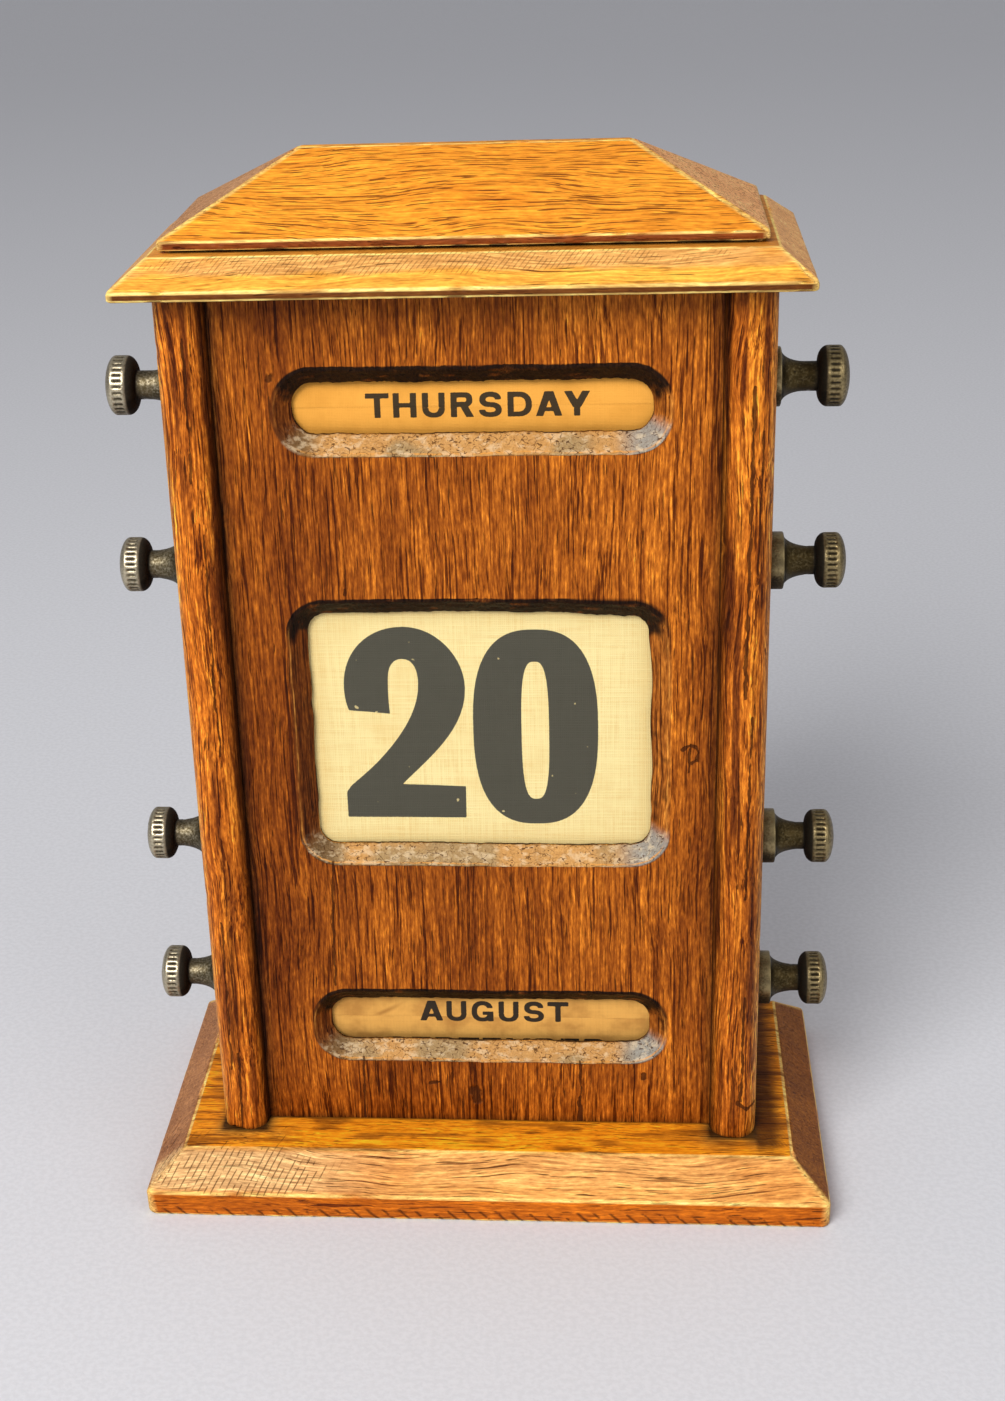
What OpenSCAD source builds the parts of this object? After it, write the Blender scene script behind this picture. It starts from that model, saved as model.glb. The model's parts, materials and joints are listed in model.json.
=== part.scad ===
// Perpetual desk calendar: an oak case with three windows in its front panel.
// A drum behind the top window carries the weekday names and a drum behind the
// bottom window carries the month names. The tall middle window shows a long
// numbered tape that is wound between two rollers. Each drum and roller turns
// on a steel spindle with a brass knob at both ends.
//
// Frame: +X to the calendar's right as seen from the front, +Y to the back and
// +Z up. The origin is the middle of the plinth's underside.

/* [Case] */
// Width of the case over its two side boards
case_w = 108; // [100:1:130]
// Depth of the case from the round front edges to the back
case_d = 46; // [42:0.5:52]
// Thickness of a side board, which also rounds its front edge
side_t = 9.2; // [8.4:0.2:11]
// Height of the side boards between plinth and cornice
side_h = 172; // [169:1:190]
// How far the round front edges stand proud of the front panel
panel_recess = 5; // [3:0.25:6]
// Thickness of the front panel
panel_t = 3; // [2.4:0.2:3.6]
// Depth of the groove in each side board that holds the front panel
panel_groove = 3; // [2:0.25:3.5]
// Thickness of the back panel
back_t = 4; // [3:0.25:6]
// Width of the rebate in each side board that holds the back panel
back_rebate = 5.5; // [5:0.1:6]

/* [Plinth] */
// How far the plinth stands out at each side of the case
plinth_side = 14; // [10:0.5:18]
// How far the plinth stands out in front of the case and behind it
plinth_front = 13; // [10:0.5:18]
// Height of the plinth
plinth_h = 11.6; // [10:0.2:16]
// Height of the plinth's upright edge below the chamfer
plinth_edge = 5.4; // [3:0.2:7]
// How far the plinth's chamfer runs in
plinth_chamfer = 7.2; // [5:0.2:9]

/* [Roof] */
// How far the cornice board stands out past the case all round
cornice_over = 5.8; // [5:0.2:9]
// Thickness of the cornice board
cornice_h = 6.4; // [5:0.2:9]
// Height of the cornice board's upright edge
cornice_edge = 1.7; // [1:0.1:3]
// How far the cornice board's chamfer runs in
cornice_chamfer = 6.1; // [4:0.1:6.5]
// How far the cap block stays inside the case's sides
cap_inset_x = 1.8; // [1:0.1:4]
// How far the cap block stays inside the case's front and back
cap_inset_y = 2.6; // [1:0.1:4]
// Height of the cap block from its seat to its ridge
cap_h = 14.4; // [10:0.2:20]
// Height of the cap block's upright edge
cap_edge = 1.6; // [1:0.1:3]
// Height of the shadow gap under the cap block's rim
cap_gap_h = 0.5; // [0.3:0.1:1]
// Depth of the shadow gap under the cap block's rim
cap_gap_d = 1.2; // [0.8:0.1:1.4]
// Length of the flat on the ridge
ridge_w = 58.8; // [40:0.4:80]
// Depth of the flat on the ridge
ridge_d = 2.4; // [1:0.2:10]

/* [Windows] */
// How far the windows sit to the right of the middle of the panel
window_shift = 0.9; // [-2:0.1:2]
// Width of every window at the panel's face
window_w = 70; // [60:0.5:74]
// Height of the weekday window at the panel's face
day_window_h = 15.2; // [14:0.1:18]
// Height of the date window at the panel's face
date_window_h = 54; // [44:0.5:58]
// Height of the month window at the panel's face
month_window_h = 15.6; // [14:0.1:18]
// How far the date window's middle lies above the middle of the case
date_window_lift = 0.4; // [-2:0.2:2]
// Corner radius of a window at the panel's face
window_r = 7; // [4.5:0.1:7]
// How far the bevel round a window runs in
bevel_in = 3; // [1:0.1:3.4]
// Depth of the straight wall behind the bevel
bevel_land = 0.4; // [0.2:0.1:0.8]

/* [Rollers] */
// Distance of the weekday drum's axis below the cornice
day_down = 22.6; // [21:0.2:24]
// Height of the month drum's axis above the plinth
month_up = 22.4; // [21:0.2:24]
// How far the upper tape roller's axis lies above the date window
upper_beyond = 0.4; // [0:0.1:3]
// How far the lower tape roller's axis lies below the date window
lower_beyond = 4.1; // [0:0.1:5]
// Radius of the tape rollers
core_r = 5; // [4:0.25:6]
// Space between the front panel and the bands
band_gap = 0.5; // [0.3:0.1:0.8]
// Space between the drums' bands and the back panel
back_gap = 0.5; // [0.4:0.1:3]
// Thickness of the printed bands and of the tape
band_t = 0.3; // [0.2:0.05:0.4]
// Bare end of a drum beside its band
band_margin = 2.5; // [1:0.1:4]
// Bare end of a tape roller beside the tape
tape_margin = 4.5; // [2:0.1:6]
// Thickness of the tape as it is wound
wound_t = 0.2; // [0.15:0.01:0.22]
// Length of tape for each number
tape_pitch = 50; // [44:1:52]
// Length of blank tape at each end
tape_leader = 60; // [40:5:80]
// Number that shows in the date window
shown_date = 20; // [1:1:31]
// Radius of the guide rods that hold the tape up to the window
rod_r = 2; // [1.5:0.1:2.4]
// How far each guide rod lies beyond the date window's edge
rod_beyond = 0.4; // [0:0.1:1.5]
// Depth of the guide rods' sockets in the side boards
rod_socket = 3.5; // [2:0.25:5]

/* [Knobs and spindles] */
// Head diameter of the knobs on each row, from the top row down
head_d = [11.1, 10.5, 10.6, 10.8]; // [9:0.1:13]
// Width of a knob's head along its axis
head_w = 5.8; // [5:0.1:7]
// Width of the straight band round a head, between its shoulder and its domed face
rim_w = 2; // [1:0.1:2.6]
// How far a head's shoulder is rounded inwards from its rim
shoulder = 2.5; // [1:0.1:2.8]
// Diameter of a knob's neck
neck_d = 5.4; // [5:0.1:7]
// Length from a knob's seat to its head, on each row from the top down
neck_l = [8.5, 9.3, 9.3, 9.3]; // [8:0.1:12]
// Diameter of a knob's flange
flange_d = 10.9; // [9:0.1:12]
// Thickness of the flange's rim, on each row from the top down
flange_t = [1.9, 3.4, 3.4, 3.4]; // [0.8:0.1:3.6]
// Flat step between the flange's rim and its hollow sweep
flange_step = 0.4; // [0.1:0.1:1]
// Length of the hollow sweep from flange to neck, on each row from the top down
sweep_l = [4.2, 5.2, 5.2, 5.2]; // [2:0.1:5.4]
// Diameter of the journal that turns in the side board
journal_d = 5.1; // [4.6:0.1:5.3]
// Running clearance round a journal, on the radius
journal_fit = 0.06; // [0.02:0.01:0.1]
// Diameter of a spindle
spindle_d = 3; // [2:0.1:3.2]
// Clearance round a spindle in a knob or a drum, on the radius
spindle_fit = 0.03; // [0.02:0.01:0.1]
// Diameter of the pin through a knob's neck
pin_d = 1.2; // [0.8:0.1:1.4]
// Distance of a pin's middle from the knob's head
pin_back = 1.6; // [1:0.1:2.4]
// How far the pins lean back from upright
pin_lean = 24; // [0:1:90]
// End float between flange and side board
end_float = 0.2; // [0.1:0.05:0.4]
// Thickness of the leather washers
washer_t = 1; // [0.6:0.1:1.5]
// Outer diameter of the leather washers
washer_d = 12; // [9:0.5:14]

/* [Screws] */
// Shank diameter of the plinth screws
plinth_screw_d = 3; // [2.4:0.1:3.6]
// Length of the plinth screws
plinth_screw_l = 22; // [18:1:30]
// Depth of the plinth screws' heads below the underside
screw_sink = 0.6; // [0.2:0.1:1]
// Shank diameter of the back panel's screws
back_screw_d = 2.2; // [1.8:0.1:2.4]
// Length of the back panel's screws
back_screw_l = 11; // [8:0.5:12]
// Height of the back panel's screws from the ends of the panel
back_screw_end = 12; // [8:1:30]
// Shank diameter of the cornice brads
brad_d = 1.8; // [1.2:0.1:2.4]
// Length of the cornice brads
brad_l = 22; // [16:1:30]
// Thickness of a brad's head
brad_head_t = 0.8; // [0.5:0.1:1.5]
// How far a brad's head stands out round its shank
brad_head_over = 0.4; // [0.2:0.1:0.8]
// How far the brads lie inwards of the side boards' middle
brad_inward = 0.6; // [0:0.1:1.5]
// Distance of the plinth screws and the brads from the case's front and back
fixing_in = 15; // [12:0.5:17]
// Clearance round a screw, brad or rod in its hole, on the radius
hole_fit = 0.05; // [0.02:0.01:0.1]
// Clearance of a panel in its groove or rebate
panel_fit = 0.15; // [0.05:0.05:0.3]

/* [Hidden] */
$fn = 64;
over = 1;                                   // how far a cut runs past a face

// Case
case_x = case_w / 2;
front_y = -case_d / 2;
back_y = case_d / 2;
inner_x = case_x - side_t;
panel_y = front_y + panel_recess;           // face of the front panel
panel_back_y = panel_y + panel_t;
eaves_z = plinth_h + side_h;                // underside of the cornice
seat_z = eaves_z + cornice_h;               // seat of the cap block
fixing_x = case_x - side_t / 2;
fixing_y = case_d / 2 - fixing_in;

// Rollers. The drums fill the depth between the front panel and the back panel.
band_front_y = panel_back_y + band_gap;     // front of the bands and the tape
band_r = (back_y - back_t - back_gap - band_front_y) / 2;
drum_r = band_r - band_t;
axis_y = band_front_y + band_r;
date_z = plinth_h + side_h / 2 + date_window_lift;
row_z = [                                   // the axes, from the top row down
    eaves_z - day_down,
    date_z + date_window_h / 2 + upper_beyond,
    date_z - date_window_h / 2 - lower_beyond,
    plinth_h + month_up
];
washer_face_x = inner_x - washer_t;
roller_end_x = washer_face_x - 2 * end_float;
band_w = 2 * (roller_end_x - band_margin - abs(window_shift));
tape_w = 2 * (roller_end_x - tape_margin - abs(window_shift));
seat_x = case_x + end_float;                // face of a knob's flange
spindle_short = 0.4;                        // how far a spindle ends before the knob's head
pin_short = 0.2;                            // how much shorter a pin is than the neck is wide
washer_fit = 0.2;                           // clearance of a washer round its journal
journal_r = journal_d / 2;
spindle_r = spindle_d / 2;
pin_hole_r = pin_d / 2 + hole_fit;

// Windows, each as [middle height, height]
day_window = [row_z[0], day_window_h];
date_window = [date_z, date_window_h];
month_window = [row_z[3], month_window_h];

// Tape: what is wound on each roller and how thick that makes it
numbers = 31;
on_upper = tape_leader + (shown_date - 1) * tape_pitch;
on_lower = tape_leader + (numbers - shown_date) * tape_pitch;
upper_roll_r = wound_radius(on_upper);
lower_roll_r = wound_radius(on_lower);
roll_gap = 0.3;                             // between the tape's free run and a roll
rod_y = band_front_y + band_t + hole_fit + rod_r;
upper_rod_z = date_window[0] + date_window_h / 2 - bevel_in + rod_beyond + rod_r;
lower_rod_z = date_window[0] - date_window_h / 2 + bevel_in - rod_beyond - rod_r;
wrap_steps = 12;

// Screws
head_share = 1.85;                          // width of a screw's head for its shank
head_slope = 0.95;                          // depth of a countersunk head for its overhang
tip_r = 0.2;                                // radius of the flat on a screw's or brad's tip
slot_w = 0.7;
slot_depth = 0.6;
join = 0.01;                                // overlap of shapes that are joined face to face

// Radius of a roller once a length of tape is wound on it
function wound_radius(length) = sqrt(core_r ^ 2 + length * wound_t / PI);

// End of a row's spindle, and the middle of the pin through its knob
function spindle_end_x(row) = seat_x + neck_l[row] - spindle_short;
function pin_x(row) = seat_x + neck_l[row] - pin_back;

// Point on a circle in the YZ plane
function on_circle(centre, r, angle) = centre + r * [cos(angle), sin(angle)];

// Slope of the line that leaves a rod and touches a roll on the same side.
// side is 1 above both and -1 below both.
function tape_slope(rod, roll, rod_radius, roll_radius, side) =
    let (d = roll - rod)
    atan2(d[1], d[0]) + side * asin((roll_radius - rod_radius) / norm(d));

// One face of the tape, from the upper roll down to the lower roll
function tape_face(rod_radius, roll_extra) =
    let (
        upper_rod = [rod_y, upper_rod_z],
        lower_rod = [rod_y, lower_rod_z],
        upper_roll = [axis_y, row_z[1]],
        lower_roll = [axis_y, row_z[2]],
        upper_r = upper_roll_r + roll_extra,
        lower_r = lower_roll_r + roll_extra,
        up = tape_slope(upper_rod, upper_roll, rod_radius, upper_r, 1) + 90,
        down = tape_slope(lower_rod, lower_roll, rod_radius, lower_r, -1) - 90
    )
    concat(
        [on_circle(upper_roll, upper_r, up)],
        [for (i = [0 : wrap_steps])
            on_circle(upper_rod, rod_radius, up + (180 - up) * i / wrap_steps)],
        [for (i = [0 : wrap_steps])
            on_circle(lower_rod, rod_radius, -180 + (180 + down) * i / wrap_steps)],
        [on_circle(lower_roll, lower_r, down)]
    );

// ---- Shared shapes ----

// Bar whose section in the YZ plane is the child, centred on X
module along_x(length) {
    translate([-length / 2, 0, 0])
        rotate([90, 0, 90])
            linear_extrude(length) children();
}

// Bar whose section in the XZ plane is the child, centred on Y
module along_y(length) {
    translate([0, length / 2, 0])
        rotate([90, 0, 0])
            linear_extrude(length) children();
}

// Section of a board with an upright edge and a chamfer above it
module chamfered_section(width, height, edge, inset) {
    polygon([
        [-width / 2, 0], [width / 2, 0], [width / 2, edge],
        [width / 2 - inset, height], [inset - width / 2, height], [-width / 2, edge]
    ]);
}

// Board with an upright edge and chamfers that meet in hips at its corners
module hipped_board(width, depth, height, edge, inset_x, inset_y) {
    intersection() {
        along_y(depth) chamfered_section(width, height, edge, inset_x);
        along_x(width) chamfered_section(depth, height, edge, inset_y);
    }
}

// Opening with round corners and a bevel that narrows towards the back.
// It lies in the XZ plane and is cut from y = 0 towards +Y.
module bevelled_opening(width, height) {
    flat_w = width - 2 * window_r;
    flat_h = height - 2 * window_r;
    bevel = panel_t - bevel_land;
    back_r = window_r - bevel_in;
    rotate([-90, 0, 0]) {
        for (x = [-1, 1], z = [-1, 1])
            translate([x * flat_w / 2, z * flat_h / 2, 0])
                cylinder(r1 = window_r, r2 = back_r, h = bevel);
        linear_extrude(panel_t + over)
            round_outline(width - 2 * bevel_in, height - 2 * bevel_in, back_r);
        translate([0, 0, -over])
            linear_extrude(over)
                round_outline(width, height, window_r);
    }
    along_x(flat_w)
        bevel_section(height, bevel);
    rotate([0, 90, 0])
        along_x(flat_h)
            bevel_section(width, bevel);
}

// Section of a window's bevel, from its width at the face to its width behind
module bevel_section(width, depth) {
    polygon([
        [0, -width / 2], [depth, bevel_in - width / 2],
        [depth, width / 2 - bevel_in], [0, width / 2]
    ]);
}

// Flat outline with round corners
module round_outline(width, height, r) {
    for (x = [-1, 1], z = [-1, 1])
        translate([x * (width / 2 - r), z * (height / 2 - r)])
            circle(r);
    square([width - 2 * r, height], center = true);
    square([width, height - 2 * r], center = true);
}

// Rod along X
module rod_x(r, x_from, x_to) {
    translate([x_from, 0, 0])
        rotate([0, 90, 0])
            cylinder(r = r, h = x_to - x_from);
}

// Places the child at the row's axis
module at_row(row) {
    translate([0, axis_y, row_z[row]]) children();
}

// Countersunk wood screw along +Z from the face of its head
module wood_screw(d, length, grow = 0, slotted = true) {
    r = d / 2 + grow;
    head_r = head_share * d / 2 + grow;
    head_h = (head_r - r) * head_slope;
    tip = d;
    difference() {
        union() {
            cylinder(r1 = head_r, r2 = r, h = head_h);
            cylinder(r = r, h = length - tip);
            translate([0, 0, length - tip])
                cylinder(r1 = r, r2 = tip_r, h = tip);
        }
        if (slotted)
            translate([-head_r - over, -slot_w / 2, -over])
                cube([2 * (head_r + over), slot_w, slot_depth + over]);
    }
}

// Hole for a countersunk screw, open past the head's face
module screw_hole(d, length) {
    wood_screw(d, length + hole_fit, hole_fit, false);
    translate([0, 0, -2 * over])
        cylinder(r = head_share * d / 2 + hole_fit, h = 2 * over + join);
}

// The plinth screws' places, with their heads sunk in the underside
module at_plinth_screws() {
    for (x = [-1, 1], y = [-1, 1])
        translate([x * fixing_x, y * fixing_y, screw_sink]) children();
}

// The back panel screws' places, heads level with the back
module at_back_screws() {
    x_at = inner_x + back_rebate / 2;
    for (x = [-1, 1], z = [plinth_h + back_screw_end, eaves_z - back_screw_end])
        translate([x * x_at, back_y, z])
            rotate([90, 0, 0]) children();
}

// The cornice brads' places, heads level with the cap block's seat
module at_cornice_brads() {
    for (x = [-1, 1], y = [-1, 1])
        translate([x * (fixing_x - brad_inward), y * fixing_y, seat_z])
            mirror([0, 0, 1]) children();
}

// Brad with a small flat head, along +Z from its head
module brad(grow = 0) {
    r = brad_d / 2 + grow;
    cylinder(r = r + brad_head_over, h = brad_head_t + grow);
    cylinder(r = r, h = brad_l - brad_d + grow);
    translate([0, 0, brad_l - brad_d + grow])
        cylinder(r1 = r, r2 = tip_r, h = brad_d);
}

// Hole for a brad, open past the head's face
module brad_hole() {
    brad(hole_fit);
    translate([0, 0, -over])
        cylinder(r = brad_d / 2 + brad_head_over + hole_fit, h = over + join);
}

// ---- Case ----

// Side board for the right; the left one is its mirror image
module side_board() {
    nose_r = side_t / 2;
    socket_x = inner_x + rod_socket;
    difference() {
        translate([0, 0, plinth_h])
            linear_extrude(side_h) {
                translate([fixing_x, front_y + nose_r]) circle(nose_r);
                translate([inner_x, front_y + nose_r]) square([side_t, case_d - nose_r]);
            }
        translate([inner_x - over, panel_y, plinth_h - over])
            cube([panel_groove + over, panel_t + panel_fit, side_h + 2 * over]);
        translate([inner_x - over, back_y - back_t, plinth_h - over])
            cube([back_rebate + over, back_t + over, side_h + 2 * over]);
        for (row = [0 : 3])
            at_row(row) rod_x(journal_r + journal_fit, inner_x - over, case_x + over);
        for (z = [upper_rod_z, lower_rod_z])
            translate([0, rod_y, z]) rod_x(rod_r + hole_fit, inner_x - over, socket_x);
        at_plinth_screws() screw_hole(plinth_screw_d, plinth_screw_l);
        at_back_screws() screw_hole(back_screw_d, back_screw_l);
        at_cornice_brads() brad_hole();
    }
}

module plinth_board() {
    color("peru")
        difference() {
            hipped_board(
                case_w + 2 * plinth_side, case_d + 2 * plinth_front,
                plinth_h, plinth_edge, plinth_chamfer, plinth_chamfer);
            at_plinth_screws() screw_hole(plinth_screw_d, plinth_screw_l);
        }
}

module left_side_board() {
    color("sienna") mirror([1, 0, 0]) side_board();
}

module right_side_board() {
    color("sienna") side_board();
}

module front_panel() {
    half_w = inner_x + panel_groove - panel_fit;
    color("saddlebrown")
        difference() {
            translate([-half_w, panel_y, plinth_h])
                cube([2 * half_w, panel_t, side_h]);
            for (window = [day_window, date_window, month_window])
                translate([window_shift, panel_y, window[0]])
                    bevelled_opening(window_w, window[1]);
        }
}

module back_panel() {
    half_w = inner_x + back_rebate - panel_fit;
    color("saddlebrown")
        difference() {
            translate([-half_w, back_y - back_t, plinth_h])
                cube([2 * half_w, back_t, side_h]);
            at_back_screws() screw_hole(back_screw_d, back_screw_l);
        }
}

module cornice_board() {
    color("goldenrod")
        difference() {
            translate([0, 0, eaves_z])
                hipped_board(
                    case_w + 2 * cornice_over, case_d + 2 * cornice_over,
                    cornice_h, cornice_edge, cornice_chamfer, cornice_chamfer);
            at_cornice_brads() brad_hole();
        }
}

module cap_block() {
    cap_w = case_w - 2 * cap_inset_x;
    cap_d = case_d - 2 * cap_inset_y;
    foot_w = cap_w - 2 * cap_gap_d;
    foot_d = cap_d - 2 * cap_gap_d;
    color("darkorange") {
        translate([-foot_w / 2, -foot_d / 2, seat_z])
            cube([foot_w, foot_d, cap_gap_h + over]);
        translate([0, 0, seat_z + cap_gap_h])
            hipped_board(
                cap_w, cap_d, cap_h - cap_gap_h, cap_edge,
                (cap_w - ridge_w) / 2, (cap_d - ridge_d) / 2);
    }
}

// ---- Fixings ----

module plinth_screws() {
    color("dimgray") at_plinth_screws() wood_screw(plinth_screw_d, plinth_screw_l);
}

module back_panel_screws() {
    color("goldenrod") at_back_screws() wood_screw(back_screw_d, back_screw_l);
}

module cornice_brads() {
    color("dimgray") at_cornice_brads() brad();
}

// ---- Inside ----

module tape_rod(z) {
    reach = inner_x + rod_socket - panel_fit;
    color("burlywood")
        translate([0, rod_y, z]) rod_x(rod_r, -reach, reach);
}

module upper_tape_rod() {
    tape_rod(upper_rod_z);
}

module lower_tape_rod() {
    tape_rod(lower_rod_z);
}

module leather_washers() {
    color("tan")
        for (row = [0 : 3], x = [-inner_x, washer_face_x])
            at_row(row)
                difference() {
                    rod_x(washer_d / 2, x, x + washer_t);
                    rod_x(journal_r + washer_fit, x - over, x + washer_t + over);
                }
}

// Wooden roller with a hole for its spindle
module roller(row, r) {
    at_row(row)
        difference() {
            rod_x(r, -roller_end_x, roller_end_x);
            rod_x(spindle_r + spindle_fit, -roller_end_x - over, roller_end_x + over);
        }
}

// Sleeve of band or of wound tape round a roller
module sleeve(row, inner_r, outer_r, width) {
    at_row(row)
        translate([window_shift, 0, 0])
            difference() {
                rod_x(outer_r, -width / 2, width / 2);
                rod_x(inner_r, -width / 2 - over, width / 2 + over);
            }
}

module day_drum() {
    color("burlywood") roller(0, drum_r);
}

module month_drum() {
    color("burlywood") roller(3, drum_r);
}

module day_band() {
    color("wheat") sleeve(0, drum_r, drum_r + band_t, band_w);
}

module month_band() {
    color("wheat") sleeve(3, drum_r, drum_r + band_t, band_w);
}

module upper_tape_roller() {
    color("burlywood") roller(1, core_r);
}

module lower_tape_roller() {
    color("burlywood") roller(2, core_r);
}

module upper_tape_roll() {
    color("cornsilk") sleeve(1, core_r, upper_roll_r, tape_w);
}

module lower_tape_roll() {
    color("cornsilk") sleeve(2, core_r, lower_roll_r, tape_w);
}

// Free run of the tape, from roll to roll over the two guide rods
module date_tape() {
    near = rod_r + hole_fit;
    inside = tape_face(near, roll_gap);
    outside = tape_face(near + band_t, roll_gap + band_t);
    count = len(outside);
    color("cornsilk")
        translate([window_shift, 0, 0])
            along_x(tape_w)
                polygon(concat(inside, [for (i = [1 : count]) outside[count - i]]));
}

// ---- Spindles and knobs ----

// Pin or pin hole across a spindle
module pin_at(x, r, length) {
    translate([x, 0, 0])
        rotate([-pin_lean, 0, 0])
            cylinder(r = r, h = length, center = true);
}

module spindle(row) {
    color("slategray")
        at_row(row)
            difference() {
                rod_x(spindle_r, -spindle_end_x(row), spindle_end_x(row));
                pin_at(-pin_x(row), pin_hole_r, spindle_d + 2 * over);
                pin_at(pin_x(row), pin_hole_r, spindle_d + 2 * over);
            }
}

// Half section of a knob: x is the radius and y the way along its axis,
// measured outwards from the flange's face
module knob_section(row) {
    neck_r = neck_d / 2;
    sweep_r = flange_d / 2 - flange_step;
    sweep_end = flange_t[row] + sweep_l[row];
    journal_end = roller_end_x - seat_x;
    bore_r = spindle_r + spindle_fit;
    bore_end = spindle_end_x(row) - seat_x + spindle_fit;
    difference() {
        union() {
            translate([0, journal_end]) square([journal_r, -journal_end]);
            square([flange_d / 2, flange_t[row]]);
            difference() {
                square([sweep_r, sweep_end]);
                translate([sweep_r, sweep_end]) oval(sweep_r - neck_r, sweep_l[row]);
            }
            square([neck_r, neck_l[row] + join]);
            translate([0, neck_l[row]]) head_section(head_d[row] / 2);
        }
        translate([0, journal_end - over]) square([bore_r, bore_end - journal_end + over]);
    }
}

// Half section of a knob's head: a rounded shoulder, a straight rim and a domed face
module head_section(r) {
    shoulder_w = (head_w - rim_w) / 2;
    dome_w = shoulder_w;
    square([r - shoulder, head_w - dome_w]);
    translate([0, shoulder_w]) square([r, rim_w]);
    intersection() {
        union() {
            translate([r - shoulder, shoulder_w]) oval(shoulder, shoulder_w);
            translate([0, head_w - dome_w]) oval(r, dome_w);
        }
        square([r, head_w]);
    }
}

// Oval with half axes a and b
module oval(a, b) {
    step = 7.5;
    polygon([for (i = [0 : step : 360 - step]) [a * cos(i), b * sin(i)]]);
}

// Right knob of a row; the left one is its mirror image
module knob(row) {
    color("darkkhaki")
        at_row(row)
            difference() {
                translate([seat_x, 0, 0])
                    rotate([0, 90, 0])
                        rotate_extrude() knob_section(row);
                pin_at(pin_x(row), pin_hole_r, neck_d + 2 * over);
            }
}

module left_knob(row) {
    mirror([1, 0, 0]) knob(row);
}

module knob_pins(row) {
    color("gray")
        at_row(row)
            for (x = [-pin_x(row), pin_x(row)])
                pin_at(x, pin_d / 2, neck_d - pin_short);
}

plinth_board();
left_side_board();
right_side_board();
front_panel();
back_panel();
cornice_board();
cap_block();
plinth_screws();
back_panel_screws();
cornice_brads();
upper_tape_rod();
lower_tape_rod();
leather_washers();
day_drum();
day_band();
month_drum();
month_band();
upper_tape_roller();
upper_tape_roll();
lower_tape_roller();
lower_tape_roll();
date_tape();
spindle(0);  // day_spindle
spindle(1);  // upper_spindle
spindle(2);  // lower_spindle
spindle(3);  // month_spindle
left_knob(0);  // day_left_knob
knob(0);  // day_right_knob
left_knob(1);  // upper_left_knob
knob(1);  // upper_right_knob
left_knob(2);  // lower_left_knob
knob(2);  // lower_right_knob
left_knob(3);  // month_left_knob
knob(3);  // month_right_knob
knob_pins(0);  // day_knob_pins
knob_pins(1);  // upper_knob_pins
knob_pins(2);  // lower_knob_pins
knob_pins(3);  // month_knob_pins
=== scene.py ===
"""Looks of the perpetual desk calendar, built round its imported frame.

Lengths in the classes are millimetres in the part's own frame: X to the calendar's right, Y to its
back and Z up, from the middle of the plinth's underside. make_mesh() turns them into metres. Amounts,
masks and wear go from 0 to 1, and colours are linear.
"""

import json
import logging
import math
from collections.abc import Callable, Mapping, Sequence
from dataclasses import dataclass, field
from enum import Enum
from functools import cache

import bpy
import numpy as np
from mathutils import Matrix, Vector


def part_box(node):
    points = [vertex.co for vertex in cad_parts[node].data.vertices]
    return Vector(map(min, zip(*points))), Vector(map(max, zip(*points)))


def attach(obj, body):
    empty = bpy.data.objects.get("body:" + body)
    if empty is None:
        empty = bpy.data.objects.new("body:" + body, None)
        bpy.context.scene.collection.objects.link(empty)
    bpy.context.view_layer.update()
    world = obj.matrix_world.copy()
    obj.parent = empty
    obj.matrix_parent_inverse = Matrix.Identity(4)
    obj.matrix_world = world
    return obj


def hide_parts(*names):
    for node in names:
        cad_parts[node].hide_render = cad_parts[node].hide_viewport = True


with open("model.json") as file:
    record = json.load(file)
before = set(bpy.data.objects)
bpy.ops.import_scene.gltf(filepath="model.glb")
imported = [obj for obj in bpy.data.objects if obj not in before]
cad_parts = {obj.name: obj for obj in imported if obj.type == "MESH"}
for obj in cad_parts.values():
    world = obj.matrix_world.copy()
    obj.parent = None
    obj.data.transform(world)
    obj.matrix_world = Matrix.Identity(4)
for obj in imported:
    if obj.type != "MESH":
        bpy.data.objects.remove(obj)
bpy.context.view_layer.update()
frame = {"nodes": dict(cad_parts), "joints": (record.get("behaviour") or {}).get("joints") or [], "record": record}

MM = 0.001
SMOOTH_ANGLE = math.radians(42)
RECORD = frame["record"]
BODY_OF = {node: body for body, nodes in RECORD["behaviour"]["bodies"].items() for node in nodes}
SLOT_OF = {part["node"]: part["material_slot"] for part in RECORD["subparts"]}
ROW_JOINTS = {
    "day": "day_turn",
    "upper": "upper_date_turn",
    "lower": "lower_date_turn",
    "month": "month_turn",
}
HEAD_R = {"plinth_screws": 2.775, "cornice_brads": 1.3, "back_panel_screws": 2.035}

Array = np.ndarray
Material, Node, Socket = bpy.types.Material, bpy.types.Node, bpy.types.NodeSocket
Rgb = Point = tuple[float, float, float]

log = logging.getLogger("calendar")


class Side(Enum):
    """Left or right end of the calendar; the value is the sign of X there."""

    LEFT = -1
    RIGHT = 1

    def placed(self, made: "Surface") -> "Surface":
        """A surface made for the right end, mirrored if this is the left one."""
        return made.mirrored_x() if self is Side.LEFT else made


class Grain(Enum):
    """Direction of a board's grain; the value is the turn that brings it to X."""

    ALONG_X = (0.0, 0.0, 0.0)
    ALONG_Z = (0.0, math.pi / 2, 0.0)


# ---- Reading the frame ----


@dataclass(frozen=True)
class Box:
    """Lowest and highest corner of something, in millimetres."""

    low: Array
    high: Array

    @property
    def size(self) -> Array:
        """Size along each axis."""
        return self.high - self.low

    @property
    def centre(self) -> Array:
        """Middle of the box."""
        return (self.high + self.low) / 2


def node_box(node: str) -> Box:
    """Box of a CAD node at rest, in millimetres."""
    low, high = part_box(node)
    return Box(np.array(low) / MM, np.array(high) / MM)


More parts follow.
